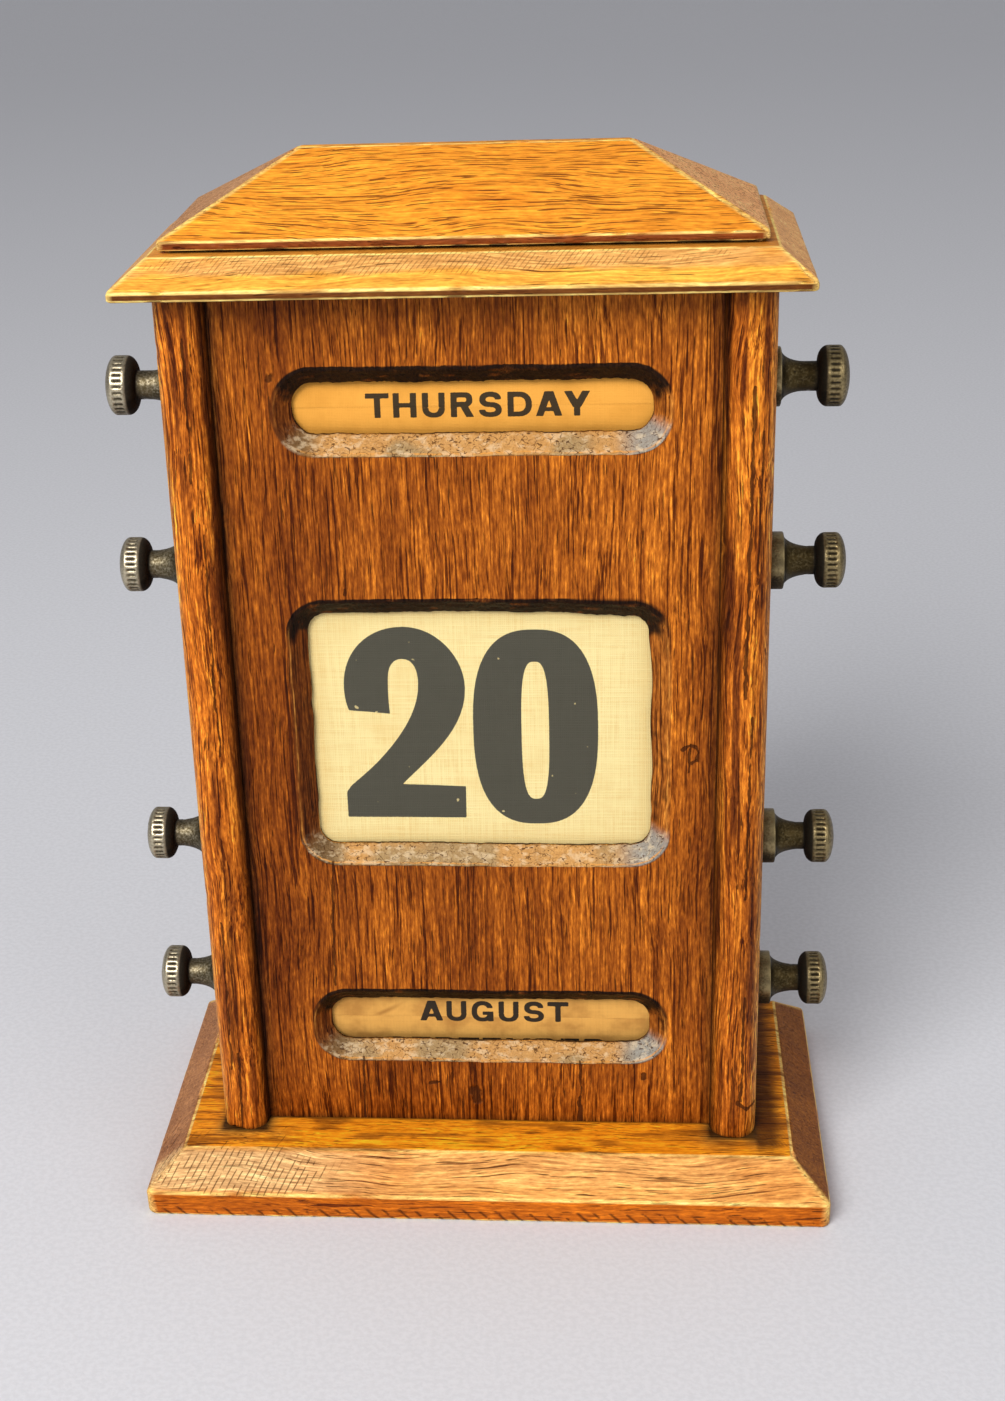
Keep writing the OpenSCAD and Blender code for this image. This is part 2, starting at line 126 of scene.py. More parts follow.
def named(rows: Sequence[dict], name: str) -> dict:
    """The row that has the name."""
    return next(row for row in rows if row["name"] == name)


def opening_centre(name: str) -> Array:
    """Middle of a window, from the record's openings, in millimetres."""
    return np.mean(named(RECORD["physics"]["openings"], name)["box_m"], axis=0) / MM


def joint_place(name: str) -> Array:
    """A point on a joint's axis, in millimetres."""
    return np.array(named(frame["joints"], name)["pos_m"]) / MM


def spots(node: str, axes: str = "xy") -> list[tuple[float, float]]:
    """Middles of a node's four screws or brads, from the corners of its box.

    Args:
        node: the CAD node.
        axes: the two axes that the middles are given on.
    """
    box, inset = node_box(node), HEAD_R[node]
    first, second = ((box.low[i] + inset, box.high[i] - inset) for i in map("xyz".index, axes))
    return [(a, b) for a in first for b in second]


# ---- Numbers that vary over a surface ----


def smoothstep(value: Array, low: float, high: float) -> Array:
    """0 below low, 1 above high and the curve 3t^2 - 2t^3 between them."""
    t = np.clip((value - low) / (high - low), 0.0, 1.0)
    return t * t * (3 - 2 * t)


def lattice_noise(points: Array, cell: float, seed: int) -> Array:
    """Smooth noise from -1 to 1.

    Random numbers at the corners of a cubic lattice are blended with t^2 (3 - 2t) along each axis.

    Args:
        points: places, one row each.
        cell: size of a lattice cell.
        seed: seed of the random numbers.

    Returns:
        One number for each point.
    """
    period = 32
    table = np.random.default_rng(seed).uniform(-1, 1, (period,) * 3)
    corner = np.floor(points / cell).astype(int)
    t = smoothstep(points / cell - corner, 0, 1)
    total = np.zeros(len(points))
    for step in np.ndindex(2, 2, 2):
        x, y, z = ((corner + step) % period).T
        total += np.where(step, t, 1 - t).prod(axis=1) * table[x, y, z]
    return total


def patches(points: Array, cell: float, seed: int, low: float, high: float) -> Array:
    """Noise as patches: 0 where it is below low and 1 where it is above high."""
    return smoothstep(lattice_noise(points, cell, seed), low, high)


def layered(base: Array | Rgb, *layers: tuple[Rgb, Array]) -> Array:
    """Colours of points that start from a base and move towards one colour after another.

    Args:
        base: one colour, or a colour for each point.
        layers: pairs of a colour and its amount at each point.
    """
    tones = np.array(base, float)
    for tone, amount in layers:
        tones = tones + (np.array(tone) - tones) * np.clip(amount, 0, 1)[:, None]
    return tones


def columns(values: Array, count: int) -> Array:
    """The values as a column, so many times side by side."""
    return np.repeat(values[:, None], count, axis=1)


def stretched(flat: Array, values: Array, axis: int) -> Array:
    """Rows of points in a plane, with each row's value put in as the given axis."""
    return np.insert(flat, axis, columns(values, flat.shape[1]), axis=2)


# ---- Surfaces ----


@dataclass
class Surface:
    """Points, faces and point values of a piece that is being made.

    A value is a number, a pair for a UV map or a colour for each point.
    """

    points: Array
    faces: list[Array]
    values: dict[str, Array] = field(default_factory=dict)

    def triangles(self) -> Array:
        """Corner numbers of a fan of triangles over each face."""
        return np.concatenate([f[:, [0, i, i + 1]] for f in self.faces for i in range(1, f.shape[1] - 1)])

    def normals(self) -> Array:
        """Unit normal at each point: the area-weighted mean of its triangles' normals."""
        t = self.triangles()
        a, b, c = self.points[t.T]
        n = np.cross(b - a, c - a)
        total = np.zeros_like(self.points)
        for i in range(3):
            np.add.at(total, t[:, i], n)
        return total / np.maximum(np.linalg.norm(total, axis=1), 1e-12)[:, None]

    def turned_outwards(self) -> "Surface":
        """The same closed surface with its faces pointing outwards.

        Six times its volume is the sum of a . (b x c) over its triangles, and it is negative when the
        faces point inwards.
        """
        a, b, c = self.points[self.triangles().T]
        if float((a * np.cross(b, c)).sum()) < 0:
            self.faces = [f[:, ::-1] for f in self.faces]
        return self

    def mirrored_x(self) -> "Surface":
        """The mirror image in the plane X = 0."""
        return Surface(self.points * (-1, 1, 1), [f[:, ::-1] for f in self.faces], dict(self.values))

    def moved(self, offset: Sequence[float]) -> "Surface":
        """The same surface, moved."""
        return Surface(self.points + np.array(offset), self.faces, dict(self.values))

    def welded(self) -> "Surface":
        """The same surface with points merged that are alike to a ten-thousandth of a millimetre."""
        rounded = np.round(self.points, 4)
        _, first, number = np.unique(rounded, axis=0, return_index=True, return_inverse=True)
        faces = [number.ravel()[f] for f in self.faces]
        return Surface(self.points[first], faces, {k: v[first] for k, v in self.values.items()})


def joined(surfaces: Sequence[Surface]) -> Surface:
    """Several surfaces as one, with the values that the first one has."""
    starts = np.cumsum([0] + [len(s.points) for s in surfaces])
    faces = [f + start for s, start in zip(surfaces, starts) for f in s.faces]
    values = {k: np.concatenate([s.values[k] for s in surfaces]) for k in surfaces[0].values}
    return Surface(np.concatenate([s.points for s in surfaces]), faces, values)


def grid_quads(rows: int, cols: int, close_rows: bool = False) -> Array:
    """Corner numbers of the quads between closed rows of points.

    Args:
        rows: how many rows.
        cols: how many points a row has; its last point is joined to its first.
        close_rows: whether the last row is joined to the first one too.

    Returns:
        One row of four corner numbers for each quad.
    """
    r = np.arange(rows if close_rows else rows - 1)[:, None]
    c = np.arange(cols)[None, :]
    r_next, c_next = (r + 1) % rows, (c + 1) % cols
    corners = [r * cols + c, r * cols + c_next, r_next * cols + c_next, r_next * cols + c]
    return np.stack(np.broadcast_arrays(*corners), axis=-1).reshape(-1, 4)


def capped_rows(points: Array) -> Surface:
    """Closed surface over rows of points, with a flat face on its first and last row.

    Args:
        points: array of rows, columns and three coordinates; each row is a closed outline.

    Returns:
        The surface, with its faces pointing outwards.
    """
    rows, cols = points.shape[:2]
    first, last = np.arange(cols)[None, ::-1], np.arange((rows - 1) * cols, rows * cols)[None, :]
    return Surface(points.reshape(-1, 3), [grid_quads(rows, cols), first, last]).turned_outwards()


def rounded_path(
    corners: Array, cuts: Sequence[float], spacing: float, steps: int = 6
) -> tuple[Array, Array, Array]:
    """Walks along an open outline whose inner corners are rounded.

    A corner P becomes the curve (1-t)^2 A + 2t(1-t) P + t^2 B, where A and B lie the corner's cut
    before and after it. The straight stretches are divided about every spacing.

    Args:
        corners: the outline's corners, one row each.
        cuts: how far each inner corner is cut back.
        spacing: distance between points on the straight stretches.
        steps: points on each curve.

    Returns:
        The points, how much of an arris each one is, and its stretch: a whole number on a straight
        stretch and a number between two of them on the curve between those.
    """
    points, arris, stretch = [corners[0]], [0.0], [0.0]
    for i, (before, corner) in enumerate(zip(corners, corners[1:])):
        inner = i < len(corners) - 2
        cut = cuts[i] if inner else 0.0
        start, end = points[-1], corner + cut * (before - corner) / np.linalg.norm(before - corner)
        count = max(1, round(float(np.linalg.norm(end - start)) / spacing))
        points += [start + (end - start) * t for t in np.linspace(0, 1, count + 1)[1:]]
        arris += [0.0] * count
        stretch += [float(i)] * count
        if inner:
            ahead = corners[i + 2] - corner
            after = corner + cut * ahead / np.linalg.norm(ahead)
            for t in np.linspace(0, 1, steps + 1)[1:]:
                points.append((1 - t) ** 2 * end + 2 * t * (1 - t) * corner + t * t * after)
                arris.append(4 * t * (1 - t))
                stretch.append(i + t)
    return np.array(points), np.array(arris), np.array(stretch)


@dataclass(frozen=True)
class RoundedRing:
    """Numbers of points on a rectangle with round corners, walked corner by corner."""

    along_x: int
    along_y: int
    on_corner: int = 7

    @property
    def sides(self) -> tuple[int, ...]:
        """Points on each of the four sides."""
        return (self.along_y, self.along_x) * 2

    @property
    def count(self) -> int:
        """Points in the whole ring."""
        return sum(self.sides) + 4 * self.on_corner

    def corner_middles(self) -> Array:
        """Number of the point in the middle of each corner."""
        return np.cumsum(self.sides) + np.arange(4) * self.on_corner + self.on_corner // 2

    def rows(self, half_x: Array, half_y: Array, radius: Array) -> Array:
        """Rings of the given sizes.

        Corner k is the arc of the corner's radius round (±(half_x - radius), ±(half_y - radius)), from
        90k to 90k + 90 degrees, and the points of a side divide the line between two arcs evenly.

        Args:
            half_x: half of each ring's size along its first axis.
            half_y: half of each ring's size along its second axis.
            radius: radius of each ring's corners.

        Returns:
            Array of rings, points and two coordinates.
        """
        arcs = []
        for k, (sx, sy) in enumerate([(1, 1), (-1, 1), (-1, -1), (1, -1)]):
            angle = math.pi / 2 * (k + np.linspace(0, 1, self.on_corner))
            x = sx * (half_x - radius)[:, None] + radius[:, None] * np.cos(angle)
            y = sy * (half_y - radius)[:, None] + radius[:, None] * np.sin(angle)
            arcs.append(np.stack([x, y], axis=-1))
        parts = []
        for k, side in enumerate(self.sides):
            t = (np.arange(1, side + 1) / (side + 1))[:, None]
            before, after = arcs[k - 1][:, -1:], arcs[k][:, :1]
            parts += [before + (after - before) * t, arcs[k]]
        return np.concatenate(parts, axis=1)

    def near_corner(self, reach: int) -> Array:
        """1 in the middle of each corner, falling to 0 at so many points from it."""
        away = np.abs(np.arange(self.count)[:, None] - self.corner_middles())
        return np.clip(1 - np.minimum(away, self.count - away).min(axis=1) / reach, 0, 1)


def turned(profile: Array, segments: int, radial: Callable | None = None) -> Surface:
    """Surface of revolution about X, closed by a pole at both ends.

    A point is (a, r cos u, r sin u), where (a, r) is on the profile and u goes round. The profile's
    first and last points lie on the axis.

    Args:
        profile: rows of place along the axis and radius, from pole to pole.
        segments: points round the axis.
        radial: adds to the radius: a function of the rings' places, their radii and the angles.
    """
    inner = profile[1:-1]
    angle = np.linspace(0, 2 * math.pi, segments, endpoint=False)[None, :]
    along, radius = inner[:, :1], inner[:, 1:]
    r = radius + (radial(along, radius, angle) if radial else 0 * angle)
    rings = np.stack(np.broadcast_arrays(along, r * np.cos(angle), r * np.sin(angle)), axis=-1)
    poles = [[profile[0, 0], 0, 0], [profile[-1, 0], 0, 0]]
    here = np.arange(segments)
    after, last = (here + 1) % segments, (len(inner) - 1) * segments
    pole = np.full(segments, len(inner) * segments)
    ends = [np.stack([after, here, pole], 1), np.stack([last + here, last + after, pole + 1], 1)]
    points = np.concatenate([rings.reshape(-1, 3), poles])
    return Surface(points, [grid_quads(len(inner), segments), *ends]).turned_outwards()


def plug(axis: str, start: Sequence[float], reaches: Sequence[tuple[float, float]]) -> Surface:
    """Round tool for cutting holes: a stack of cylinders and cones along an axis.

    Args:
        axis: "x", "y" or "z".
        start: the tool's zero point.
        reaches: pairs of place along the axis and radius, in order.
    """
    tool = turned(np.array([(reaches[0][0], 0.0), *reaches, (reaches[-1][0], 0.0)], float), 40)
    order = {"x": [0, 1, 2], "y": [2, 0, 1], "z": [1, 2, 0]}[axis]
    return Surface(tool.points[:, order] + np.array(start), tool.faces)


def drill(axis: str, start: Sequence[float], low: float, high: float, radius: float) -> Surface:
    """Plain round tool from one place along an axis to another."""
    return plug(axis, start, [(low, radius), (high, radius)])


def graded(start: float, stop: float, spans: Sequence[tuple], fine: float, coarse: float) -> Array:
    """Places from start to stop that lie closer together in some spans.

    Args:
        start: the first place.
        stop: the last place.
        spans: pairs of places between which the step is fine.
        fine: step in the spans.
        coarse: step elsewhere.
    """
    steps = [np.linspace(low, high, math.ceil((high - low) / fine) + 1) for low, high in spans]
    places = np.unique(np.concatenate([np.arange(start, stop, coarse), [stop], *steps]))
    places = places[(places >= start) & (places <= stop)]
    keep = np.concatenate([[True], np.diff(places) > 0.45 * fine])
    keep[-1] = True
    return places[keep]


def worn(surface: Surface, arris: Array, chip: float, ripple: float, seed: int) -> Surface:
    """Wears a board: its arrises lose chips and its faces get a faint ripple.

    A point moves against its normal by ripple (1 + noise) / 2, and on an arris also by chip times a
    fine noise and, where a slower noise is high, a deeper one.

    Args:
        surface: the board.
        arris: how much of an arris each point is.
        chip: depth of the chips.
        ripple: depth of the ripple.
        seed: seed of the first noise; the others follow it.
    """
    p = surface.points
    faint = ripple * (1 + lattice_noise(p, 9.0, seed)) / 2
    fine = 0.3 * np.abs(lattice_noise(p, 1.3, seed + 1))
    slow = 0.35 * (1 + lattice_noise(p, 6.0, seed + 2)) / 2
    depth = faint + chip * arris * (fine + slow + 1.7 * patches(p, 3.4, seed + 3, 0.42, 0.85))
    values = surface.values | {"arris": np.clip(arris, 0, 1)}
    return Surface(p - surface.normals() * depth[:, None], surface.faces, values)


def make_mesh(name: str, surface: Surface) -> bpy.types.Mesh:
    """Blender mesh of a surface, in metres and shaded smooth.

    Args:
        name: the mesh's name.
        surface: its shape; a value of pairs, in millimetres, becomes a UV map.
    """
    mesh = bpy.data.meshes.new(name)
    mesh.vertices.add(len(surface.points))
    mesh.vertices.foreach_set("co", (surface.points * MM).astype(np.float32).ravel())
    corners = np.concatenate([f.ravel() for f in surface.faces]).astype(np.int32)
    sizes = np.concatenate([np.full(len(f), f.shape[1]) for f in surface.faces])
    mesh.loops.add(len(corners))
    mesh.loops.foreach_set("vertex_index", corners)
    mesh.polygons.add(len(sizes))
    mesh.polygons.foreach_set("loop_start", (np.cumsum(sizes) - sizes).astype(np.int32))
    mesh.update(calc_edges=True)
    for key, value in surface.values.items():
        if value.shape[1:] == (2,):
            layer, kind, value = mesh.uv_layers.new(name=key), "uv", value[corners] * MM
        elif value.ndim == 1:
            layer, kind = mesh.attributes.new(key, "FLOAT", "POINT"), "value"
        else:
            layer, kind = mesh.attributes.new(key, "FLOAT_VECTOR", "POINT"), "vector"
        layer.data.foreach_set(kind, value.astype(np.float32).ravel())
    mesh.polygons.foreach_set("use_smooth", np.ones(len(sizes), bool))
    return mesh


def make_piece(
    name: str, surface: Surface, node: str, material: Material, tools: Sequence[Surface] = ()
) -> bpy.types.Object:
    """Puts a piece into the scene in place of a CAD node and lets it ride on that node's body.

    Args:
        name: the piece's name.
        surface: its shape.
        node: the CAD node that it stands for.
        material: its finish.
        tools: closed surfaces that are cut out of it.
    """
    piece = bpy.data.objects.new(name, make_mesh(name, surface))
    bpy.context.scene.collection.objects.link(piece)
    if tools:
        cut_out(piece, tools)
    piece.data.set_sharp_from_angle(angle=SMOOTH_ANGLE)
    piece.data.materials.clear()
    piece.data.materials.append(material)
    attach(piece, BODY_OF[node])
    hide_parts(node)
    log.info("%s: %d faces, for %s", name, len(piece.data.polygons), node)
    return piece


def cut_out(piece: bpy.types.Object, tools: Sequence[Surface]) -> None:
    """Cuts closed surfaces out of a piece and keeps the result as its mesh."""
    cutter = bpy.data.objects.new("cutter", make_mesh("cutter", joined(tools)))
    bpy.context.scene.collection.objects.link(cutter)
    cut = piece.modifiers.new("holes", "BOOLEAN")
    cut.operation, cut.solver, cut.object = "DIFFERENCE", "MANIFOLD", cutter
    evaluated = piece.evaluated_get(bpy.context.evaluated_depsgraph_get())
    mesh = bpy.data.meshes.new_from_object(evaluated)
    piece.modifiers.clear()
    if not len(mesh.polygons):
        raise RuntimeError(f"cutting {piece.name} left nothing")
    old, piece.data = piece.data, mesh
    bpy.data.meshes.remove(old)
    bpy.data.objects.remove(cutter)


# ---- Shader graphs ----


def rgba(tone: Rgb) -> tuple[float, float, float, float]:
    """An opaque colour for a socket."""
    return (*tone, 1.0)


class Graph:
    """Adds nodes to the tree of a material or a node group and links them."""

    def __init__(self, tree: bpy.types.NodeTree) -> None:
        """Works on a tree that is there already."""
        self.tree = tree

    def feed(self, node: Node, inputs: Mapping) -> Node:
        """Links sockets to a node's inputs and sets values there.

        Args:
            node: the node.
            inputs: a socket or a value, by the input's name or number.

        Returns:
            The same node.
        """
        for key, value in inputs.items():
            if isinstance(value, Socket):
                self.tree.links.new(value, node.inputs[key])
            else:
                node.inputs[key].default_value = value
        return node

    def add(self, kind: str, inputs: Mapping, **settings: object) -> Node:
        """Adds a node.

        Args:
            kind: its type, without the leading ShaderNode.
            inputs: a socket or a value, by the input's name or number.
            settings: the node's own properties.

        Returns:
            The node.
        """
        node = self.tree.nodes.new("ShaderNode" + kind)
        for name, value in settings.items():
            setattr(node, name, value)
        return self.feed(node, inputs)

    def math(self, operation: str, *values: Socket | float) -> Socket:
        """One arithmetic operation on up to three values."""
        return self.add("Math", dict(enumerate(values)), operation=operation).outputs[0]

    def vector(self, operation: str, *values: Socket | Sequence[float]) -> Socket:
        """One operation on vectors, which gives a vector, a length or a product."""
        node = self.add("VectorMath", dict(enumerate(values)), operation=operation)
        return node.outputs["Value" if operation in ("LENGTH", "DOT_PRODUCT") else "Vector"]

    def mix(self, amount: Socket | float, a: Socket | Rgb, b: Socket | Rgb, blend: str = "MIX") -> Socket:
        """Mixes two colours."""
        inputs = {0: amount} | {i: rgba(c) if isinstance(c, tuple) else c for i, c in ((6, a), (7, b))}
        return self.add("Mix", inputs, data_type="RGBA", blend_type=blend).outputs[2]

    def noise(self, vector: Socket, scale: float = 1.0, detail: float = 2.0, rough: float = 0.5) -> Socket:
        """Noise of the given scale on a vector, about 0.5."""
        inputs = {"Vector": vector, "Scale": scale, "Detail": detail, "Roughness": rough}
        return self.add("TexNoise", inputs).outputs["Fac"]

    def line(
        self,
        value: Socket,
        low: Socket | float,
        high: Socket | float,
        to_low: float = 0.0,
        to_high: float = 1.0,
        kind: str = "LINEAR",
    ) -> Socket:
        """A clamped change from to_low to to_high as the value goes from low to high."""
        inputs = {"Value": value, "From Min": low, "From Max": high, "To Min": to_low, "To Max": to_high}
        return self.add("MapRange", inputs, interpolation_type=kind).outputs[0]

    def step(self, value: Socket, low: Socket | float, high: Socket | float, *to: float) -> Socket:
        """The same change as a smooth step."""
        return self.line(value, low, high, *(to or (0.0, 1.0)), "SMOOTHSTEP")

    def mapped(
        self,
        vector: Socket,
        scale: Sequence[float],
        location: Sequence[float] = (0, 0, 0),
        rotation: Sequence[float] = (0, 0, 0),
    ) -> Socket:
        """The vector scaled, turned and moved."""
        inputs = {"Vector": vector, "Location": location, "Rotation": rotation, "Scale": scale}
        return self.add("Mapping", inputs).outputs[0]

    def place(self) -> Socket:
        """Object coordinates in millimetres."""
        return self.mapped(self.add("TexCoord", {}).outputs["Object"], (1 / MM,) * 3)

    def attribute(self, name: str, output: str = "Fac") -> Socket:
        """Reads a value that the mesh carries."""
        return self.add("Attribute", {}, attribute_name=name).outputs[output]

    def group(self, tree: bpy.types.NodeTree, **inputs: object) -> Mapping[str, Socket]:
        """Places a node group and gives its outputs by name."""
        return self.add("Group", inputs, node_tree=tree).outputs

    def bumped(self, height: Socket, depth: float, strength: float = 1.0) -> Socket:
        """Normal of a relief of the given depth in metres."""
        inputs = {"Height": height, "Distance": depth, "Strength": strength}
        return self.add("Bump", inputs).outputs["Normal"]

    def close(self, end: Node, **outputs: Socket) -> bpy.types.NodeTree:
        """Links a group's outputs and gives its tree."""
        self.feed(end, outputs)
        return self.tree


def open_group(
    name: str, inputs: dict[str, object], outputs: dict[str, str]
) -> tuple[Graph, Mapping[str, Socket], Node]:
    """Starts a shader node group.

    Args:
        name: the group's name.
        inputs: each input's default; a number, a colour of four or a vector of three.
        outputs: each output's kind: Float, Color or Vector.

    Returns:
        The group's graph, what comes in by name, and its output node.
    """
    tree = bpy.data.node_groups.new(name, "ShaderNodeTree")
    for key, default in inputs.items():
        size = len(default) if hasattr(default, "__len__") else 1
        kind = {1: "Float", 3: "Vector", 4: "Color"}[size]
        socket = tree.interface.new_socket(name=key, in_out="INPUT", socket_type="NodeSocket" + kind)
        socket.default_value = default
    for key, kind in outputs.items():
        tree.interface.new_socket(name=key, in_out="OUTPUT", socket_type="NodeSocket" + kind)
    return Graph(tree), tree.nodes.new("NodeGroupInput").outputs, tree.nodes.new("NodeGroupOutput")


@cache
def oak_grain() -> bpy.types.NodeTree:
    """Group: open-pored wood in millimetres with its grain along X.

    A slow noise bends the grain. Blotches, growth bands, fibres and a short mottling make the wood
    lighter and darker, and long lines and short pores are darker still. Tone is 2^(k e), where e is the
    sum of these and k is 1, 1.25 and 1.4 for red, green and blue, so that dark wood is redder. Pores and
    Streaks say how many pores and lines there are, and Contrast how strong the rest is.
    """
    inputs = {"Vector": (0, 0, 0), "Pores": 0.5, "Streaks": 0.5, "Bend": 1.0, "Contrast": 1.0}
    outputs = {"Tone": "Vector", "Dark": "Float", "Height": "Float"}
    g, given, end = open_group("oak_grain", inputs, outputs)
    place = given["Vector"]
    bend = g.math("SUBTRACT", g.noise(g.mapped(place, (0.02, 0.045, 0.045))), 0.5)
    bend = g.math("MULTIPLY", bend, g.math("MULTIPLY", given["Bend"], 7.0))
    bent = g.vector("ADD", place, g.add("CombineXYZ", {"Y": bend, "Z": bend}).outputs[0])
    blotches, bands = (place, 0.035, 0.05, 1.0), (bent, 0.006, 0.26, 1.7)
    fibres, mottling = (bent, 0.09, 2.6, 3.4), (bent, 0.5, 2.4, 2.7)
    total = 0.0
    for source, along, across, weight in (blotches, bands, fibres, mottling):
        layer = g.noise(g.mapped(source, (along, across, across), (7 * across, 3, 5)), detail=2.5, rough=0.6)
        total = g.math("ADD", total, g.line(layer, 0.2, 0.8, -0.3 * weight, 0.3 * weight))
    line = g.noise(g.mapped(bent, (0.035, 1.6, 1.6), (17, 2, 9)), detail=3.0, rough=0.65)
    lines = g.step(g.math("SUBTRACT", g.line(given["Streaks"], 0.0, 1.0, 0.28, 0.49), line), -0.01, 0.05)
    total = g.math("MULTIPLY", total, given["Contrast"])
    total = g.math("SUBTRACT", total, g.math("MULTIPLY", lines, 1.9))
    pore = g.noise(g.mapped(bent, (0.14, 3.8, 3.8), (3, 11, 5)), detail=1.5)
    pores = g.step(g.math("SUBTRACT", pore, g.line(given["Pores"], 0.0, 1.0, 0.76, 0.56)), 0.0, 0.05)
    tone = g.add("CombineXYZ", {i: g.math("POWER", 2.0**k, total) for i, k in enumerate((1.0, 1.25, 1.4))})
    sunk = g.math("MAXIMUM", pores, g.math("MULTIPLY", lines, 0.5))
    height = g.math("SUBTRACT", g.math("MULTIPLY", layer, 0.5), sunk)
    return g.close(end, Tone=tone.outputs[0], Dark=pores, Height=height)


@cache
def crack_line() -> bpy.types.NodeTree:
    """Group: a thin crack between two points, in millimetres, or a spot if they are the same.

    Its mask is 1 where the distance to the segment, on a place that noise has moved a little, is under
    the width, and it narrows where a slower noise is low.
    """
    inputs = {"Vector": (0, 0, 0), "From": (0, 0, 0), "To": (0, 0, 10), "Width": 0.3}
    g, given, end = open_group("crack_line", inputs, {"Mask": "Float"})
    place, first = given["Vector"], given["From"]
    wander = g.add("TexNoise", {"Vector": place, "Scale": 0.3, "Detail": 3.0}).outputs["Color"]
    wander = g.vector("MULTIPLY", g.vector("SUBTRACT", wander, (0.5,) * 3), (1.3, 0.1, 1.3))
    place = g.vector("ADD", place, wander)
    along, away = g.vector("SUBTRACT", given["To"], first), g.vector("SUBTRACT", place, first)
    ratio = {0: g.vector("DOT_PRODUCT", away, along), 1: g.vector("DOT_PRODUCT", along, along)}
    part = g.add("Math", ratio, operation="DIVIDE", use_clamp=True).outputs[0]
    nearest = g.add("VectorMath", {0: along, "Scale": part}, operation="SCALE").outputs[0]
    gap = g.vector("LENGTH", g.vector("SUBTRACT", away, nearest))
    narrow = g.step(g.noise(g.mapped(place, (0.5, 0.5, 0.3))), 0.36, 0.56, 0.45, 1.0)
    reach = g.math("MULTIPLY", given["Width"], narrow)
    outside = g.step(gap, g.math("MULTIPLY", reach, 0.6), reach)
    return g.close(end, Mask=g.math("SUBTRACT", 1.0, outside))


@cache
def saw_marks() -> bpy.types.NodeTree:
    """Group: parallel cuts across a patch of a board, in millimetres.

    They lie where the fraction of d . Across is about 0.5, d being the way from Middle, in an oval patch
    of the half sizes Reach. Noise bends them, breaks them up and frays the patch's edge.
    """
    inputs = {"Vector": (0, 0, 0), "Middle": (0, 0, 0), "Reach": (9, 9, 9), "Across": (1, 0, 0), "Width": 0.1}
    g, given, end = open_group("saw_marks", inputs, {"Mask": "Float"})
    away = g.vector("SUBTRACT", given["Vector"], given["Middle"])
    turns = g.vector("DOT_PRODUCT", away, given["Across"])
    turns = g.math("ADD", turns, g.math("MULTIPLY", g.noise(away, 0.2), 0.35))
    gap = g.math("ABSOLUTE", g.math("SUBTRACT", g.math("FRACT", turns), 0.5))
    cuts = g.step(gap, 0.0, given["Width"], 1.0, 0.0)
    patch = g.vector("LENGTH", g.vector("DIVIDE", away, given["Reach"]))
    patch = g.step(g.math("ADD", patch, g.noise(away, 0.2)), 1.25, 1.5, 1.0, 0.0)
    broken = g.step(g.noise(away, 0.45), 0.38, 0.48)
    return g.close(end, Mask=g.math("MULTIPLY", g.math("MULTIPLY", cuts, patch), broken))


@cache
def linen_weave() -> bpy.types.NodeTree:
    """Group: plain weave on a UV map in millimetres.

    Threads run along both axes at the given pitch. Slow noise along each thread makes it thicker and
    thinner, and the darker gaps lie where both threads are low.
    """
    inputs = {"UV": (0, 0, 0), "Pitch": 0.36}
    outputs = {"Shade": "Float", "Height": "Float", "Speck": "Float"}
    g, given, end = open_group("linen_weave", inputs, outputs)
    place = given["UV"]
    axes = g.add("SeparateXYZ", {0: place}).outputs
    warp = g.noise(g.mapped(place, (2.4, 0.09, 1)))
    weft = g.noise(g.mapped(place, (0.09, 2.4, 1), (7, 3, 0)))
    waves = []
    for axis, slub in (("X", warp), ("Y", weft)):
        turns = g.math("ADD", g.math("DIVIDE", axes[axis], given["Pitch"]), g.math("MULTIPLY", slub, 0.9))
        wave = g.math("COSINE", g.math("MULTIPLY", turns, 2 * math.pi))
        waves.append(g.math("MULTIPLY", g.math("ADD", wave, 1.0), 0.5))
    height = g.math("MAXIMUM", *waves)
    slubs = g.math("ADD", *(g.line(slub, 0.3, 0.7, -0.06, 0.06) for slub in (warp, weft)))
    shade = g.math("ADD", g.line(height, 0.0, 1.0, 0.88, 1.02), slubs)
    speck = g.step(g.noise(place, 0.55, detail=1.0), 0.74, 0.78)
    return g.close(end, Shade=shade, Height=height, Speck=speck)


@cache
def tarnish() -> bpy.types.NodeTree:
    """Group: how tarnish and rubbing lie on metal, in millimetres.

    Rubbed is high on worn edges, broken up by noise; Pit is a fine dark speckle; Film is a slow change
    of the tarnish; Height adds pits and fine turning marks.
    """
    outputs = {"Rubbed": "Float", "Pit": "Float", "Film": "Float", "Height": "Float"}
    g, given, end = open_group("tarnish", {"Vector": (0, 0, 0), "Wear": 0.0}, outputs)
    place = given["Vector"]
    film, fine = g.noise(place, 0.35, 4.0, 0.6), g.noise(place, 2.2, 3.0, 0.6)
    rubbed = g.step(g.math("ADD", given["Wear"], g.line(fine, 0.3, 0.7, -0.22, 0.22)), 0.15, 0.95)
    pit = g.step(g.noise(g.mapped(place, (1.6,) * 3, (4, 9, 2))), 0.6, 0.7)
    lines = g.noise(g.mapped(place, (6.0, 0.2, 0.2)), detail=1.0)
    height = g.math("SUBTRACT", g.math("MULTIPLY", lines, 0.3), pit)
    return g.close(end, Rubbed=rubbed, Pit=pit, Film=film, Height=height)


# ---- Finishes ----


